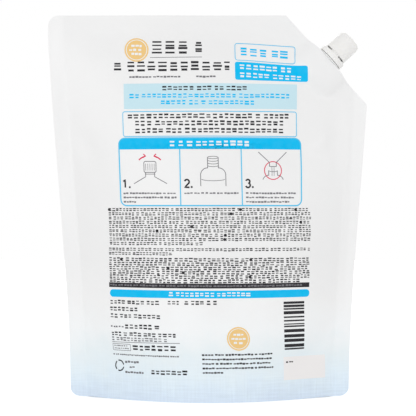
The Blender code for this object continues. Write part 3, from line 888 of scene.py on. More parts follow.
def film_table():
    """Front film points at every whole millimetre of the flat film, with their outward normals."""
    table = np.zeros((len(TABLE_V), len(TABLE_U), 3))
    rows = flat_v[:, 0]
    for k, v in enumerate(TABLE_V):
        i = min(int(np.searchsorted(rows, v, side="right")) - 1, len(rows) - 2)
        t = (v - rows[i]) / (rows[i + 1] - rows[i])
        across = (1 - t) * flat_u["front"][i] + t * flat_u["front"][i + 1]
        for axis, values in enumerate((grid_x, front_y, grid_z)):
            table[k, :, axis] = np.interp(TABLE_U, across, (1 - t) * values[i] + t * values[i + 1])
    normals = np.cross(np.gradient(table, axis=1), np.gradient(table, axis=0))
    return table, normals / np.maximum(np.linalg.norm(normals, axis=2, keepdims=True), 1e-9)


film_points, film_normals = film_table()


def settle(u, v):
    """How far the print has slipped down where the film hangs slack below the spout."""
    return SLIP * smooth((u - 12.0) / 50.0) * smooth((v - 200.0) / 12.0)


def on_film(u, v, proud):
    """Places on the front film for arrays of flat positions, raised a little along the normal."""
    row = np.clip(v - settle(u, v) - TABLE_V[0], 0.0, len(TABLE_V) - 1.001)
    column = np.clip(u - TABLE_U[0], 0.0, len(TABLE_U) - 1.001)
    i, j = row.astype(int), column.astype(int)
    s, t = (column - j)[..., None], (row - i)[..., None]

    def blend(table):
        low = table[i, j] * (1 - s) + table[i, j + 1] * s
        high = table[i + 1, j] * (1 - s) + table[i + 1, j + 1] * s
        return low * (1 - t) + high * t

    return blend(film_points) + proud * blend(film_normals)


# %% [markdown]
# ### Shapes of ink
#
# All print is made of strips: two lines of points with ink between them. A block is a strip between its
# lower and upper edge, a stroke is one between its two sides, and a line of lettering is a row of small
# blocks. One kind of shape is enough, and it always bends with the film.

# %% Strips, blocks and discs
strips = {}


def strip(ink, low, high, level=0, closed=False):
    """Ink between two lines of as many flat points each. A level lies on top of the one below it."""
    strips.setdefault(ink, []).append((np.asarray(low), np.asarray(high), level, closed))


def block(ink, u0, v0, u1, v1, radius=0.0, level=0):
    """A rectangle, with round corners if it has a radius."""
    quarter = np.linspace(0.0, math.pi / 2, 7)
    bend = radius * (1 - np.cos(quarter)) if radius else np.zeros(1)
    count = max(2, int((u1 - u0 - 2 * radius) / INK_STEP) + 2)
    middle = np.linspace(u0 + radius, u1 - radius, count)
    u = np.concatenate([u0 + bend[:-1], middle, u1 - bend[:-1][::-1]])
    near_end = np.minimum(u - u0, u1 - u)
    inset = corner_inset(near_end, radius) if radius else np.zeros(len(u))
    strip(ink, np.stack([u, v0 + inset], -1), np.stack([u, v1 - inset], -1), level)


def disc(ink, u, v, radius, level=0):
    """A round patch. Its corners are just short of a full round, which keeps the block's middle."""
    block(ink, u - radius, v - radius, u + radius, v + radius, radius * 0.999, level)


# %% Lines
def stroke(ink, points, width, closed=False, level=0):
    """A line of even width through flat points."""
    points = np.asarray(points, dtype=float)
    ends = np.vstack([points, points[:1]]) if closed else points
    path = []
    for a, b in zip(ends, ends[1:]):
        count = max(1, int(np.ceil(np.hypot(*(b - a)) / INK_STEP)))
        path.extend(a + (b - a) * k / count for k in range(count))
    if not closed:
        path.append(ends[-1])
    path = np.array(path)
    if closed:
        ahead, behind = np.roll(path, -1, axis=0), np.roll(path, 1, axis=0)
    else:
        ahead = np.vstack([path[1:], path[-1:]])
        behind = np.vstack([path[:1], path[:-1]])
    along = ahead - behind
    along /= np.maximum(np.linalg.norm(along, axis=1, keepdims=True), 1e-9)
    side = np.stack([-along[:, 1], along[:, 0]], -1) * width / 2
    strip(ink, path - side, path + side, level, closed)


def arc(u, v, radius, start, end, squeeze=1.0):
    """Points round part of a circle or an ellipse. Angles are in degrees."""
    count = max(4, int(abs(end - start) / 12) + 1)
    angles = np.radians(np.linspace(start, end, count))
    return [(u + radius * math.cos(a), v + radius * squeeze * math.sin(a)) for a in angles]


def outline(ink, u0, v0, u1, v1, radius, width, level=0):
    """The line round a rectangle with round corners."""
    corners = ((u1, v1, 0), (u0, v1, 90), (u0, v0, 180), (u1, v0, 270))
    points = []
    for u, v, turn in corners:
        centre_u = u - radius if u == u1 else u + radius
        centre_v = v - radius if v == v1 else v + radius
        points.extend(arc(centre_u, centre_v, radius, turn, turn + 90))
    stroke(ink, points, width, True, level)


# %% Lettering as rows of bars
CELL_WIDTHS = (0.72, 0.98)
BAR_SHARES = (0.34, 0.62)
CELL_GAPS = (0.14, 0.17, 0.2, 0.23, 0.17, 0.2, 0.55)


def row(ink, start, end, v, height, level=0, bars=1):
    """A line of small uneven bars, one above the other, where the pack has a line of lettering."""
    u = start
    while u < end - 0.5 * height:
        cell = min(height * dice.uniform(*CELL_WIDTHS), end - u)
        for k in range(bars):
            thick = height * dice.uniform(*BAR_SHARES) / bars**0.9
            middle = v + height * ((k + 0.5) / bars - 0.5) + height * dice.uniform(-0.07, 0.07)
            trim = cell * dice.uniform(0.0, 0.16) * (bars > 1)
            block(ink, u + trim, middle - thick / 2, u + cell - trim, middle + thick / 2, 0.0, level)
        u += cell + height * dice.choice(CELL_GAPS)


# %% [markdown]
# ### From strips to skins
#
# Each strip becomes a closed skin: an upper layer, a lower one just inside the film, and thin walls
# round them. All strips of one ink are one mesh, as one cylinder of the press prints them.

# %% Skins of ink
LEVEL_STEP = 0.6


def add_skin(places, faces, low, high, level, closed):
    """Adds one strip as a closed skin of small quads that follow the film."""
    height = np.max(np.hypot(*(high - low).T))
    bands = max(1, int(np.ceil(height / INK_STEP)))
    share = np.linspace(0.0, 1.0, bands + 1)[None, :, None]
    flat = low[:, None] * (1 - share) + high[:, None] * share
    start, count, wide = len(places), len(low), bands + 1
    for lift in (INK_PROUD * (1 + LEVEL_STEP * level), -INK_SUNK):
        places.extend(on_film(flat[..., 0], flat[..., 1], lift).reshape(-1, 3) * MM)

    def corner(i, j, layer):
        return start + (layer * count + i % count) * wide + j

    def wall(a, b):
        faces.append([corner(*a, 0), corner(*b, 0), corner(*b, 1), corner(*a, 1)])

    last = count if closed else count - 1
    for i in range(last):
        for j in range(bands):
            quad = ((i, j), (i + 1, j), (i + 1, j + 1), (i, j + 1))
            faces.append([corner(a, b, 0) for a, b in quad])
            faces.append([corner(a, b, 1) for a, b in quad[::-1]])
        wall((i, 0), (i + 1, 0))
        wall((i, bands), (i + 1, bands))
    ends = () if closed else (0, last)
    for i in ends:
        for j in range(bands):
            wall((i, j), (i, j + 1))


def make_print(ink):
    """The mesh of one ink, which rides on the bag."""
    places, faces = [], []
    for low, high, level, closed in strips[ink]:
        add_skin(places, faces, low, high, level, closed)
    mesh = bpy.data.meshes.new("print_" + ink)
    mesh.from_pydata(places, [], faces)
    bm = bmesh.new()
    bm.from_mesh(mesh)
    bmesh.ops.recalc_face_normals(bm, faces=bm.faces)
    bm.to_mesh(mesh)
    bm.free()
    mesh.shade_smooth()
    mesh.set_sharp_from_angle(angle=SHARP_ANGLE)
    mesh.materials.append(make_ink(ink))
    obj = bpy.data.objects.new(mesh.name, mesh)
    bpy.context.collection.objects.link(obj)
    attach(obj, "bag")
    print(obj.name + ":", len(strips[ink]), "shapes,", len(mesh.polygons), "faces")


# %% [markdown]
# ## Inks
#
# Gravure ink lies in a layer a few thousandths of a millimetre thick and dries flatter than the film,
# so its sheen is weak. It has a faint mottle, because the engraved cells of the cylinder don't release
# quite as much ink everywhere. Real mottle is finer than the 3.85 mm here, which is drawn that coarse
# so that it shows.

# %% Ink materials
MOTTLE_SIZE = 3.85
MOTTLE = 0.03
INKS = {
    "dark": "#2B2A2E",
    "grey": "#77767B",
    "cyan": "#00C0F6",
    "pale_blue": "#CBE9F3",
    "sky": "#52C4EE",
    "amber": "#F3CC88",
    "red": "#DF2F57",
    "white": "#F3F5F6",
    "label": "#F5F2F1",
}


def make_ink(name):
    """Gravure ink on polyester: flat colour with a trace of mottle and a weak sheen."""
    ink, shader = new_material("gravure_ink_" + name, Roughness=0.42, IOR=1.5, Specular_IOR_Level=0.06)
    place = add_node(ink, "ShaderNodeTexCoord").outputs["Object"]
    mottle = add_node(
        ink, "ShaderNodeTexNoise", {"Vector": place, "Scale": 1 / (MOTTLE_SIZE * MM), "Detail": 3.0}
    )
    tone = add_node(ink, "ShaderNodeValToRGB", {"Fac": mottle.outputs["Fac"]})
    strong = linear(INKS[name])
    weak = tuple(c + (1 - c) * MOTTLE for c in strong[:3]) + (1.0,)
    for stop, position, colour in zip(tone.color_ramp.elements, (0.25, 0.95), (strong, weak)):
        stop.position = position
        stop.color = colour
    ink.node_tree.links.new(tone.outputs["Color"], shader.inputs["Base Color"])
    return ink


print("inks:", ", ".join(INKS))

# %% [markdown]
# ## The layout of the print
#
# The back of such a pack has a heading, a coloured notice, a claim in a tinted panel, a framed row of
# three steps for refilling a bottle, blocks of small print, bars for a till, and a pale field for a
# date. Here every line of lettering is a row of plain bars, and the badges are plain discs.
#
# The numbers are places on the flat film: across from its middle, then up from its base. A row gives
# its ink, its start and end, the height of its middle, and the height of its letters.

# %% Heading, notices and claim
dice = random.Random(5)

disc("amber", -47.4, 224.7, 7.9)
stroke("white", arc(-47.4, 224.7, 6.7, 0, 348), 0.45, True, 1)
for v, half in ((227.4, 3.4), (224.7, 4.8), (222.0, 3.4)):
    row("white", -47.4 - half, -47.4 + half, v, 2.5, 1)
row("dark", -37.6, -5.0, 226.4, 8.6, 0, 4)
stroke("grey", ((-38.7, 219.5), (-5.1, 219.8)), 0.35)
row("dark", -62.6, 13.0, 213.7, 6.6, 0, 3)
row("grey", -52.5, -18.0, 206.9, 2.1)
row("grey", -9.0, 4.0, 206.9, 2.1)

outline("sky", 16.3, 217.9, 55.6, 229.2, 1.6, 0.45)
row("cyan", 19.6, 52.4, 223.6, 6.0, 0, 3)
block("cyan", 16.0, 204.9, 64.0, 216.8, 1.4)
row("white", 19.0, 54.0, 213.6, 4.0, 1, 2)
row("white", 19.0, 61.0, 208.2, 4.0, 1, 2)

block("pale_blue", -56.3, 186.0, 56.7, 202.5)
row("dark", -31.2, 25.6, 199.4, 3.3, 1, 2)
row("cyan", -52.8, 51.8, 194.5, 3.3, 1, 2)
row("cyan", -32.0, 30.4, 190.1, 3.3, 1, 2)

outline("sky", -57.3, 168.3, 56.4, 184.3, 1.4, 0.5)
for start, end, v in ((-54.0, 51.8, 181.3), (-49.2, 47.6, 176.8), (-49.4, 49.0, 172.0)):
    row("dark", start, end, v, 3.7, 0, 2)
print("shapes so far:", sum(len(parts) for parts in strips.values()))

# %% [markdown]
# ### Three steps in a frame
#
# The steps say how to refill a bottle: turn the cap off, open the bottle, and pour. Each is a simple
# line drawing under a coloured header. The digits are strokes too, so no font is needed.

# %% Frame and digits
CELL_LINES = (-20.4, 18.8)
FRAME = (-60.6, 124.0, 58.9, 167.2)
HEADER_FOOT = 160.0

# The second block squares the lower corners of the header
block("cyan", FRAME[0], HEADER_FOOT, FRAME[2], FRAME[3], 3.6)
block("cyan", FRAME[0], HEADER_FOOT, FRAME[2], HEADER_FOOT + 3.7)
outline("sky", *FRAME, 4.0, 0.8, 1)
row("white", -27.0, 25.0, 163.7, 4.2, 1, 2)
for u in CELL_LINES:
    stroke("sky", ((u, FRAME[1] + 0.4), (u, HEADER_FOOT)), 0.7)

DIGITS = {
    1: [((0.2, 3.8), (1.5, 4.9), (1.5, 0.0))],
    2: [arc(1.6, 3.5, 1.45, 165, -30) + [(0.2, 0.0), (3.2, 0.0)]],
    3: [arc(1.5, 3.75, 1.25, 160, -75) + arc(1.5, 1.35, 1.45, 75, -160)],
}
for digit, corner_u in ((1, -58.6), (2, -17.8), (3, 21.2)):
    for line in DIGITS[digit]:
        stroke("dark", [(corner_u + a, 135.6 + b) for a, b in line], 1.05)
    disc("dark", corner_u + 4.6, 135.8, 0.65)
for start, widths in ((-58.6, (35.5, 35.5, 8.5)), (-18.0, (34.5,)), (21.2, (34.0, 33.0, 29.0))):
    for k, width in enumerate(widths):
        row("grey", start, start + width, 131.9 - 2.75 * k, 1.9)

# %% Step 1, a cap turned on its spout
cap_u, cap_v = -40.0, 147.6
for k in (-1, 1):
    neck_u = cap_u + 3.0 * k
    stroke("grey", ((neck_u, cap_v - 2.6), (neck_u, cap_v - 5.2), (neck_u + 8.0 * k, cap_v - 9.6)), 0.45)
    stroke("red", arc(cap_u, cap_v + 1.0, 9.2, 90 - 52 * k, 90 - 20 * k, 0.8), 0.8)
    tip = arc(cap_u, cap_v + 1.0, 9.2, 90 - 17 * k, 90 - 17 * k, 0.8)[0]
    stroke("red", ((tip[0] + 1.5 * k, tip[1] + 1.3), tip, (tip[0] + 2.2 * k, tip[1] - 1.0)), 0.7)
outline("grey", cap_u - 4.0, cap_v - 2.4, cap_u + 4.0, cap_v + 4.6, 1.0, 0.45)
for k in range(-2, 3):
    stroke("grey", ((cap_u + 1.4 * k, cap_v - 1.2), (cap_u + 1.4 * k, cap_v + 3.2)), 0.3)
stroke("grey", ((cap_u - 3.4, cap_v - 3.5), (cap_u + 3.4, cap_v - 3.5)), 0.4)

# %% Step 2, an open bottle
bottle_u = 0.6
for k in (-1, 1):
    neck_u = bottle_u + 3.4 * k
    shoulder = arc(neck_u, 143.4, 4.6, 90, 90 - 84 * k)
    stroke("grey", [(neck_u, 154.6), (neck_u, 148.0), *shoulder, (neck_u + 4.6 * k, 136.4)], 0.45)
for v in (154.6, 152.9, 151.2, 149.5):
    stroke("grey", arc(bottle_u, v, 3.4, 180, 360, 0.22), 0.35)
stroke("grey", arc(bottle_u, 154.6, 3.4, 180, 0, 0.22), 0.35)
stroke("grey", arc(bottle_u, 141.0, 7.7, 195, 345, 0.16), 0.35)

# %% Step 3, a pouch poured into the bottle
POUR_U = 39.4
stroke("red", arc(POUR_U, 146.4, 5.7, 0, 348), 0.55, True)
for k in (-1, 1):
    pouch_u, wall_u, pour_u = POUR_U + 2.3 * k, POUR_U + 2.9 * k, POUR_U + 0.7 * k
    shoulder = arc(wall_u, 139.2, 4.2, 90, 90 - 70 * k)
    stroke("grey", ((pouch_u, 149.0), (pouch_u, 151.6), (pouch_u + 7.2 * k, 158.2)), 0.45)
    stroke("grey", [(wall_u, 146.4), (wall_u, 143.6), *shoulder], 0.45)
    stroke("grey", ((pour_u, 149.0), (pour_u, 143.0)), 0.3)
stroke("grey", arc(POUR_U, 146.4, 2.9, 180, 360, 0.25), 0.35)
stroke("grey", ((POUR_U - 2.3, 149.0), (POUR_U + 2.3, 149.0)), 0.4)
print("shapes so far:", sum(len(parts) for parts in strips.values()))

# %% [markdown]
# ### Small print
#
# Blocks of small print look grey from a distance, with a few round marks in them. Rows of bars at the
# real line pitch give the same grey, and no two rows are alike.

# %% Small print
LINE_PITCH = 2.7


def paragraph(ink, start, top, ends, height, bullets=()):
    """Rows of small print, each with its own end, and round marks where a new point starts."""
    for k, end in enumerate(ends):
        row(ink, start, end, top - LINE_PITCH * k, height, 0, 2)
    for line, u in bullets:
        disc("dark", u, top - LINE_PITCH * line, 0.95, 1)


paragraph(
    "dark",
    -70.0,
    121.5,
    [66.0] * 8 + [-5.6],
    2.35,
    ((0, -69.4), (0, 17.5), (0, 54.6), (1, 11.4), (3, 58.4), (4, -13.6), (5, -36.2), (6, 7.6), (7, 7.2)),
)
paragraph("dark", -70.8, 96.2, [66.0, -26.0], 2.3)
marks = ((0, -61.6), (0, 24.0), (2, -28.8), (3, -19.0), (4, 23.4))
paragraph("dark", -71.0, 89.8, [66.3] * 5 + [59.5], 2.75, marks)
block("dark", -71.6, 71.9, 66.2, 74.9)
row("grey", -70.8, 61.0, 73.4, 2.0, 1)
block("cyan", -71.2, 65.7, 66.4, 70.5, 2.35)
row("white", -28.6, 25.4, 68.1, 3.1, 1, 2)

# %% [markdown]
# ### Foot of the print
#
# The lowest part has short lines of details on the left, a badge with a few lines below it, and on the
# right a pale field for a date. The bars for a till are in an order of their own and say nothing.

# %% Lines of details
DETAILS = (
    ("dark", -71.4, -34.0, 62.5, 3.0),
    ("dark", -29.5, -22.0, 62.7, 3.0),
    ("dark", -18.5, 2.8, 62.9, 3.0),
    ("dark", -71.6, -49.6, 58.1, 3.0),
    ("dark", -71.6, -34.2, 53.7, 3.0),
    ("grey", -71.8, -61.4, 46.8, 1.7),
    ("dark", -60.6, -33.8, 47.0, 3.4),
    ("dark", -71.6, -24.8, 42.2, 3.0),
    ("grey", -71.8, -30.2, 39.0, 2.8),
    ("dark", -55.6, -22.6, 33.8, 4.2),
    ("grey", -72.0, -22.8, 28.9, 1.5),
    ("grey", -62.6, -50.4, 24.4, 2.2),
    ("grey", -59.0, -53.6, 21.2, 2.2),
    ("grey", -62.6, -48.6, 17.8, 2.2),
    ("dark", -43.0, -17.6, 18.6, 3.5),
)
for ink, start, end, v, height in DETAILS:
    row(ink, start, end, v, height, 0, 2 if height > 2.5 else 1)
stroke("grey", ((-72.0, 36.8), (-22.4, 37.3)), 0.35)
outline("grey", -71.6, 31.6, -57.2, 35.7, 0.4, 0.3)
for v in (34.5, 32.9):
    row("grey", -70.4, -58.6, v, 1.2)
for turn in (10, 130, 250):
    stroke("dark", arc(-67.2, 21.8, 3.3, turn, turn + 96), 0.8)

# %% Badge, till bars and date field
disc("amber", 15.0, 40.2, 7.5)
stroke("white", arc(15.0, 40.2, 6.4, 0, 348), 0.4, True, 1)
for v, half in ((42.8, 3.2), (40.2, 4.6), (37.6, 3.2)):
    row("white", 15.0 - half, 15.0 + half, v, 2.4, 1)
for k, end in enumerate((37.4, 37.6, 36.2, 37.8, 4.2)):
    row("dark", -8.8, end, 30.2 - 2.82 * k, 1.9)

TILL_BARS = (0.7, 1.0, 1.0, 1.5, 2.0)
TILL_GAPS = (0.6, 0.6, 0.9, 1.3)
bar_v = 63.0
while bar_v > 33.2:
    thick = dice.choice(TILL_BARS)
    block("dark", 46.6, bar_v - thick, 62.4, bar_v)
    bar_v -= thick + dice.choice(TILL_GAPS)
block("label", 45.6, 12.9, 79.3, 27.8)
row("dark", 47.4, 53.8, 24.4, 1.7, 1)

for ink in strips:
    make_print(ink)

# %% [markdown]
# ## The moulded spout, band and cap
#
# These three are injection mouldings of natural polyethylene: white without pigment, waxy, and a
# little translucent, with a fine satin surface from the mould. Nearly all of their form is turned, so
# it is made as outlines spun round the axis of the spout. A relief function pushes the wall out or in
# as it is spun, which gives the threads without any joins.
#
# Outlines are (radius, height) in millimetres, with the height measured from the tamper band's
# underside, as in the model that they dress.

# %% Turning tools
SEGMENTS = 216
spout_place = Matrix.Translation((SPOUT[0] * MM, 0.0, SPOUT[1] * MM)) @ Matrix.Rotation(CUT_ANGLE, 4, "Y")


def divided(points, step):
    """The same outline with more points, so that no stretch of it is longer than the step."""
    fine = [points[0]]
    for a, b in zip(points, points[1:]):
        count = max(1, int(math.ceil(math.dist(a, b) / step)))
        shares = [k / count for k in range(1, count + 1)]
        fine.extend((a[0] + (b[0] - a[0]) * t, a[1] + (b[1] - a[1]) * t) for t in shares)
    return fine


def rounded(centre_r, centre_w, radius, start, end, steps):
    """Points of an outline round part of a circle. Angles are in degrees."""
    angles = np.radians(np.linspace(start, end, steps + 1))
    return [(centre_r + radius * math.cos(a), centre_w + radius * math.sin(a)) for a in angles]


def spout_object(name, bm):
    """Turns a bmesh's faces outward, stands it on the spout's axis and makes it an object."""
    bmesh.ops.recalc_face_normals(bm, faces=bm.faces)
    bmesh.ops.transform(bm, matrix=spout_place, verts=bm.verts)
    mesh = bpy.data.meshes.new(name)
    bm.to_mesh(mesh)
    bm.free()
    obj = bpy.data.objects.new(name, mesh)
    bpy.context.collection.objects.link(obj)
    return obj


def turned(name, points, relief=None, ring=False):
    """Spins an outline round the spout's axis. It ends on the axis, or is a closed ring."""
    bm = bmesh.new()
    angles = np.linspace(0.0, 2 * math.pi, SEGMENTS, endpoint=False)
    rows = []
    for r, w in points:
        if r < 1e-6:
            rows.append([bm.verts.new((0.0, 0.0, w * MM))] * SEGMENTS)
            continue
        radii = (r + (relief(r, w, angles) if relief else np.zeros(SEGMENTS))) * MM
        circle = zip(radii * np.cos(angles), radii * np.sin(angles))
        rows.append([bm.verts.new((x, y, w * MM)) for x, y in circle])
    pairs = list(zip(rows, rows[1:]))
    if ring:
        pairs.append((rows[-1], rows[0]))
    for low, high in pairs:
        for k in range(SEGMENTS):
            n = (k + 1) % SEGMENTS
            corners = [low[k], low[n], high[n], high[k]]
            kept = [v for i, v in enumerate(corners) if v not in corners[:i]]
            if len(kept) > 2:
                bm.faces.new(kept)
    return spout_object(name, bm)


def loft(bm, rings):
    """Walls between closed rings of points, and a face over each end."""
    for low, high in zip(rings, rings[1:]):
        for k in range(len(low)):
            n = (k + 1) % len(low)
            bm.faces.new((low[k], low[n], high[n], high[k]))
    bm.faces.new(rings[0])
    bm.faces.new(rings[-1])


# %% Joining, cutting and finishing
def finish_piece(obj, body, node, material):
    """Smooths a piece, gives it its material, ties it to its body and hides the solid that it replaces.
    """
    obj.data.shade_smooth()
    obj.data.set_sharp_from_angle(angle=math.radians(32))
    obj.data.materials.clear()
    obj.data.materials.append(material)
    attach(obj, body)
    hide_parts(node)
    print(obj.name + ":", len(obj.data.polygons), "faces")


def apply_boolean(target, operands, operation):
    """Joins or cuts with other closed meshes, keeps the result and removes the tools."""
    for operand in operands:
        modifier = target.modifiers.new(operand.name, "BOOLEAN")
        modifier.operation = operation
        modifier.solver = "EXACT"
        modifier.object = operand
    bpy.context.view_layer.update()
    result = bpy.data.meshes.new_from_object(target.evaluated_get(bpy.context.evaluated_depsgraph_get()))
    target.modifiers.clear()
    target.data = result
    for operand in operands:
        bpy.data.objects.remove(operand, do_unlink=True)


# %% [markdown]
# ### The thread
#
# Cap and neck share one thread with two starts. It is a relief: at each height and angle it says how far
# the wall is pushed out, from 0 to 1, and it fades at both ends as a moulded thread does.

# %% Thread
THREAD_STARTS = 2
THREAD_FOOT = 6.2
THREAD_LEAD = 6.0
THREAD_HALF = 0.8
THREAD_FLANK = 0.42
THREAD_FADE = 0.08
THREAD_DEPTH = 0.65
FINE_STEP = 0.16


def thread(w, angles, turns, turn_by):
    """Height of the thread, from 0 to 1, at one height on the wall."""
    height = np.zeros(len(angles))
    for start in range(THREAD_STARTS):
        for lap in range(-1, 3):
            turn = (angles - turn_by) / (2 * math.pi) + lap - start / THREAD_STARTS
            centre = THREAD_FOOT + THREAD_LEAD * turn
            wall = np.clip((THREAD_HALF - np.abs(w - centre)) / THREAD_FLANK, 0.0, 1.0)
            ends = np.clip(np.minimum(turn, turns - turn) / THREAD_FADE, 0.0, 1.0)
            height = np.maximum(height, smooth(wall) * ends)
    return height


# %% [markdown]
# ### The plastic
#
# Natural polyethylene looks white because light scatters inside it, so its shadows are soft. A little
# subsurface scattering gives that. Slow noise stands for the flow of the melt, and a fine grain for
# the sparked steel of the mould.

# %% Plastic material
FLOW_SIZE = 7.14
FLOW_TONE = 0.975
SCATTER = 1.2
GRAIN_SIZE = 0.4
GRAIN_DEPTH = 0.02


def make_polyethylene(name, colour):
    """Natural polyethylene, injection moulded: waxy, satin, and lit a little from within."""
    plastic, shader = new_material(
        "natural_polyethylene_" + name,
        Roughness=0.38,
        IOR=1.51,
        Specular_IOR_Level=0.3,
        Subsurface_Weight=0.25,
        Subsurface_Radius=(1.0, 1.0, 0.95),
        Subsurface_Scale=SCATTER * MM,
    )
    place = add_node(plastic, "ShaderNodeTexCoord").outputs["Object"]
    flow = add_node(
        plastic, "ShaderNodeTexNoise", {"Vector": place, "Scale": 1 / (FLOW_SIZE * MM), "Detail": 4.0}
    )
    tone = add_node(plastic, "ShaderNodeValToRGB", {"Fac": flow.outputs["Fac"]})
    tone.color_ramp.elements[0].color = tuple(c * FLOW_TONE for c in linear(colour)[:3]) + (1.0,)
    tone.color_ramp.elements[1].color = linear(colour)
    grain = add_node(
        plastic, "ShaderNodeTexNoise", {"Vector": place, "Scale": 1 / (GRAIN_SIZE * MM), "Detail": 2.0}
    )
    bump = add_node(
        plastic,
        "ShaderNodeBump",
        {"Height": grain.outputs["Fac"], "Strength": 0.25, "Distance": GRAIN_DEPTH * MM},
    )
    links = plastic.node_tree.links
    links.new(tone.outputs["Color"], shader.inputs["Base Color"])
    links.new(bump.outputs["Normal"], shader.inputs["Normal"])
    return plastic


# %% [markdown]
# ### The spout
#
# The spout is one moulding: a pointed block with welding ribs, a flange, a bead that holds the band
# down, and a threaded neck with an open bore. The round parts are one outline, spun. The block isn't
# round, so it is lofted through pointed rings and joined on, which leaves one skin as in the moulding.

# %% The pointed block
BOAT_TIP = 0.4
BOAT_TOP = -3.1
BOAT_BANDS = 7
GROOVE = 0.25
GROOVE_SLOPE = 0.3


def boat_ring(bm, w, groove, grow):
    """One ring of the block, which is thickest at the spout and sharp at both ends."""
    angles = np.linspace(-math.pi / 2, math.pi / 2, 41)
    bulge = np.clip(np.cos(angles) ** 2, 0.0, 1.0)
    along = (BOAT_LENGTH + grow) * np.sin(angles)
    half = BOAT_TIP + grow + BOAT_DEPTH * bulge**BOAT_POWER - groove * bulge
    near = [bm.verts.new((a * MM, -h * MM, w * MM)) for a, h in zip(along, half)]
    far = [bm.verts.new((a * MM, h * MM, w * MM)) for a, h in zip(along[::-1], half[::-1])]
    return near + far


def boat(name, levels, grow=0.0):
    """The block, or the room for it, lofted through (height, groove) levels."""
    bm = bmesh.new()
    loft(bm, [boat_ring(bm, w, groove, grow) for w, groove in levels])
    return spout_object(name, bm)


def boat_levels():
    """Four welding ribs with shallow grooves between them."""
    rib = (BOAT_TOP - BOAT_FOOT) / BOAT_BANDS
    levels = []
    for k in range(BOAT_BANDS):
        groove, slope = (GROOVE, GROOVE_SLOPE * rib) if k % 2 else (0.0, 0.0)
        levels.append((BOAT_TOP - k * rib - slope, groove))
        levels.append((BOAT_TOP - (k + 1) * rib + slope, groove))
    return levels


# %% Spout
BORE = 4.6
TAIL = 5.6
FLANGE = 8.8
FLANGE_EDGE = 0.2
COLLAR = 6.4
BEAD = 7.7
NECK = 5.9
NECK_FOOT = 3.9
MOUTH = 16.2


def neck_relief(r, w, angles):
    """The outer thread, on the wall of the neck alone."""
    if abs(r - NECK) > 1e-6:
        return np.zeros(len(angles))
    return THREAD_DEPTH * thread(w, angles, 1.2, 0.0)


def make_spout():
    """The spun outline, with the block joined on and the bore cut through both."""
    rim = FLANGE - FLANGE_EDGE
    points = [(BORE, BOAT_FOOT), (5.5, BOAT_FOOT), (TAIL, -3.7), (TAIL, -1.05)]
    points += rounded(rim, -0.85, FLANGE_EDGE, -90, 0, 3) + rounded(rim, -0.5, FLANGE_EDGE, 0, 90, 3)
    points += [(COLLAR, -0.3), (COLLAR, 1.9)]
    points += [(BEAD - 0.1, 1.9), (BEAD, 2.0), (BEAD, 2.3), (COLLAR, 3.4), (NECK, NECK_FOOT)]
    points += divided([(NECK, NECK_FOOT), (NECK, MOUTH - 0.4)], FINE_STEP)[1:]
    points += rounded(NECK - 0.4, MOUTH - 0.4, 0.4, 0, 90, 4)[1:]
    points += rounded(BORE + 0.2, MOUTH - 0.2, 0.2, 90, 180, 3)
    piece = turned("moulded_spout", points, neck_relief, ring=True)
    block_piece = boat("welded_block", boat_levels())
    bore = turned("bore", [(0.0, -13.0), (BORE, -13.0), (BORE, -2.0), (0.0, -2.0)])
    apply_boolean(block_piece, [bore], "DIFFERENCE")
    apply_boolean(piece, [block_piece], "UNION")
    return piece


spout = make_spout()
finish_piece(spout, "bag", "spout", make_polyethylene("spout", "#F2F2F1"))

# %% [markdown]
# ### The socket
#
# The webs of film part round the block, so the same block, grown by the room left for it, is cut out of
# the film. That leaves a true socket, and an open bore when the cap is off.

# %% Socket in the film
SOCKET_LEVELS = ((-12.2, 0.0), (-2.8, 0.0))
HOLE_RADIUS = 5.9
HOLE = ((0.0, -3.7), (HOLE_RADIUS, -3.7), (HOLE_RADIUS, 7.0), (0.0, 7.0))

socket = boat("socket", SOCKET_LEVELS, BOAT_ROOM)
hole = turned("socket_hole", HOLE)
apply_boolean(film, [socket, hole], "DIFFERENCE")
film.data.set_sharp_from_angle(angle=SHARP_ANGLE)
print("film with its socket:", len(film.data.polygons), "faces")

# %% [markdown]
# ### The tamper band
#
# The band is moulded with the cap and hangs from it by short bridges, which break at the first opening.
# It then stays on the neck, held down by a lip under the bead. The ring is spun with its lands all
# round, and four slits are cut between them, as a blade cuts them on the real one.

# %% Tamper band
BAND_WALL = 9.2
LIP = 7.1
ROOM = 8.1
LAND_FOOT = 3.6
LAND_TOP = 4.68
BAND_TURN = math.radians(-94.0)
SLITS = 4
SLIT_START = 22
SLIT_SPAN = 46


def slit(start):
    """A cutter for the slit that starts at an angle in degrees."""
    bm = bmesh.new()
    corners = ((6.8, LAND_FOOT), (9.6, LAND_FOOT), (9.6, 5.2), (6.8, 5.2))
    first = BAND_TURN + math.radians(start)
    rings = []
    for a in np.linspace(first, first + math.radians(SLIT_SPAN), 24):
        across, deep = math.cos(a) * MM, math.sin(a) * MM
        rings.append([bm.verts.new((r * across, r * deep, w * MM)) for r, w in corners])
    loft(bm, rings)
    return spout_object("slit", bm)


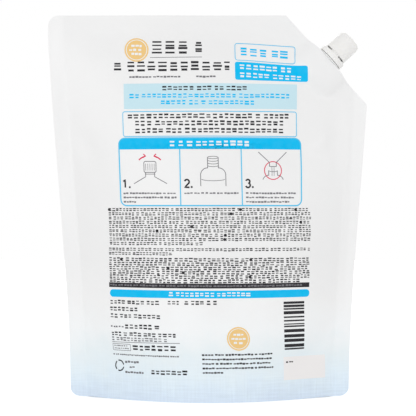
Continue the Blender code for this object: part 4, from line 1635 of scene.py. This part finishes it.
def make_band():
    """A ring with a lip under the neck's bead, and lands that bridge it to the cap."""
    foot = rounded(BAND_WALL - 0.35, 0.35, 0.35, -90, 0, 5)
    head = rounded(8.55, 3.0, 0.5, 0, 70, 4)
    outer = [(7.7, 0.0), *foot, (9.05, 2.9), *head, (7.98, 4.1), (7.95, LAND_TOP)]
    inner = [(LIP, LAND_TOP), (LIP, LAND_FOOT), (ROOM, 2.9), (ROOM, 1.5), (LIP, 1.5), (LIP, 0.6)]
    ring = turned("tamper_ring", outer + inner, ring=True)
    slits = [slit(SLIT_START + 360 / SLITS * k) for k in range(SLITS)]
    apply_boolean(ring, slits, "DIFFERENCE")
    return ring


band = make_band()
finish_piece(band, "band", "tamper_band", make_polyethylene("band", "#F6F5F3"))

# %% [markdown]
# ### The cap
#
# The cap is a plain cup with a soft top edge and a slightly crowned top. Inside, a plug ring presses
# into the bore and seals it, and the thread is a relief that is pushed inward.

# %% Cap
CAP_BORE = 6.85
CAP_WALL = 7.95
CAP_FOOT = 4.7
CEILING = 17.7
CAP_TOP = 19.2
CROWN = 0.4
TOP_EDGE = 3.0


def cap_relief(r, w, angles):
    """The inner thread, on the wall of the bore alone."""
    if abs(r - CAP_BORE) > 1e-6:
        return np.zeros(len(angles))
    return -THREAD_DEPTH * thread(w, angles, 1.0, math.pi / 2)


def make_cap():
    """One outline: ceiling and plug ring, threaded wall, foot, outside and crown."""
    flat = 4.75
    plug = [(3.7, CEILING), (3.7, 14.4), (4.1, 14.4), (4.3, 14.8), (4.3, CEILING)]
    inner = [(0.0, CEILING), *plug, (5.45, CEILING)]
    bore = divided([(CAP_BORE, 16.3), (CAP_BORE, CAP_FOOT + 0.2)], FINE_STEP)
    outer = [(7.05, CAP_FOOT), (7.75, CAP_FOOT), (CAP_WALL, CAP_FOOT + 0.2), (7.94, 5.2)]
    edge = rounded(flat, CAP_TOP - CROWN - TOP_EDGE, TOP_EDGE, 4, 90, 14)
    shares = [1 - k / 5 for k in range(1, 6)]
    crown = [(flat * s, CAP_TOP - CROWN * s**2) for s in shares]
    return turned("screw_cap_shell", inner + bore + outer + edge + crown, cap_relief)


cap = make_cap()
finish_piece(cap, "screw_cap", "cap", make_polyethylene("cap", "#F4F3F1"))
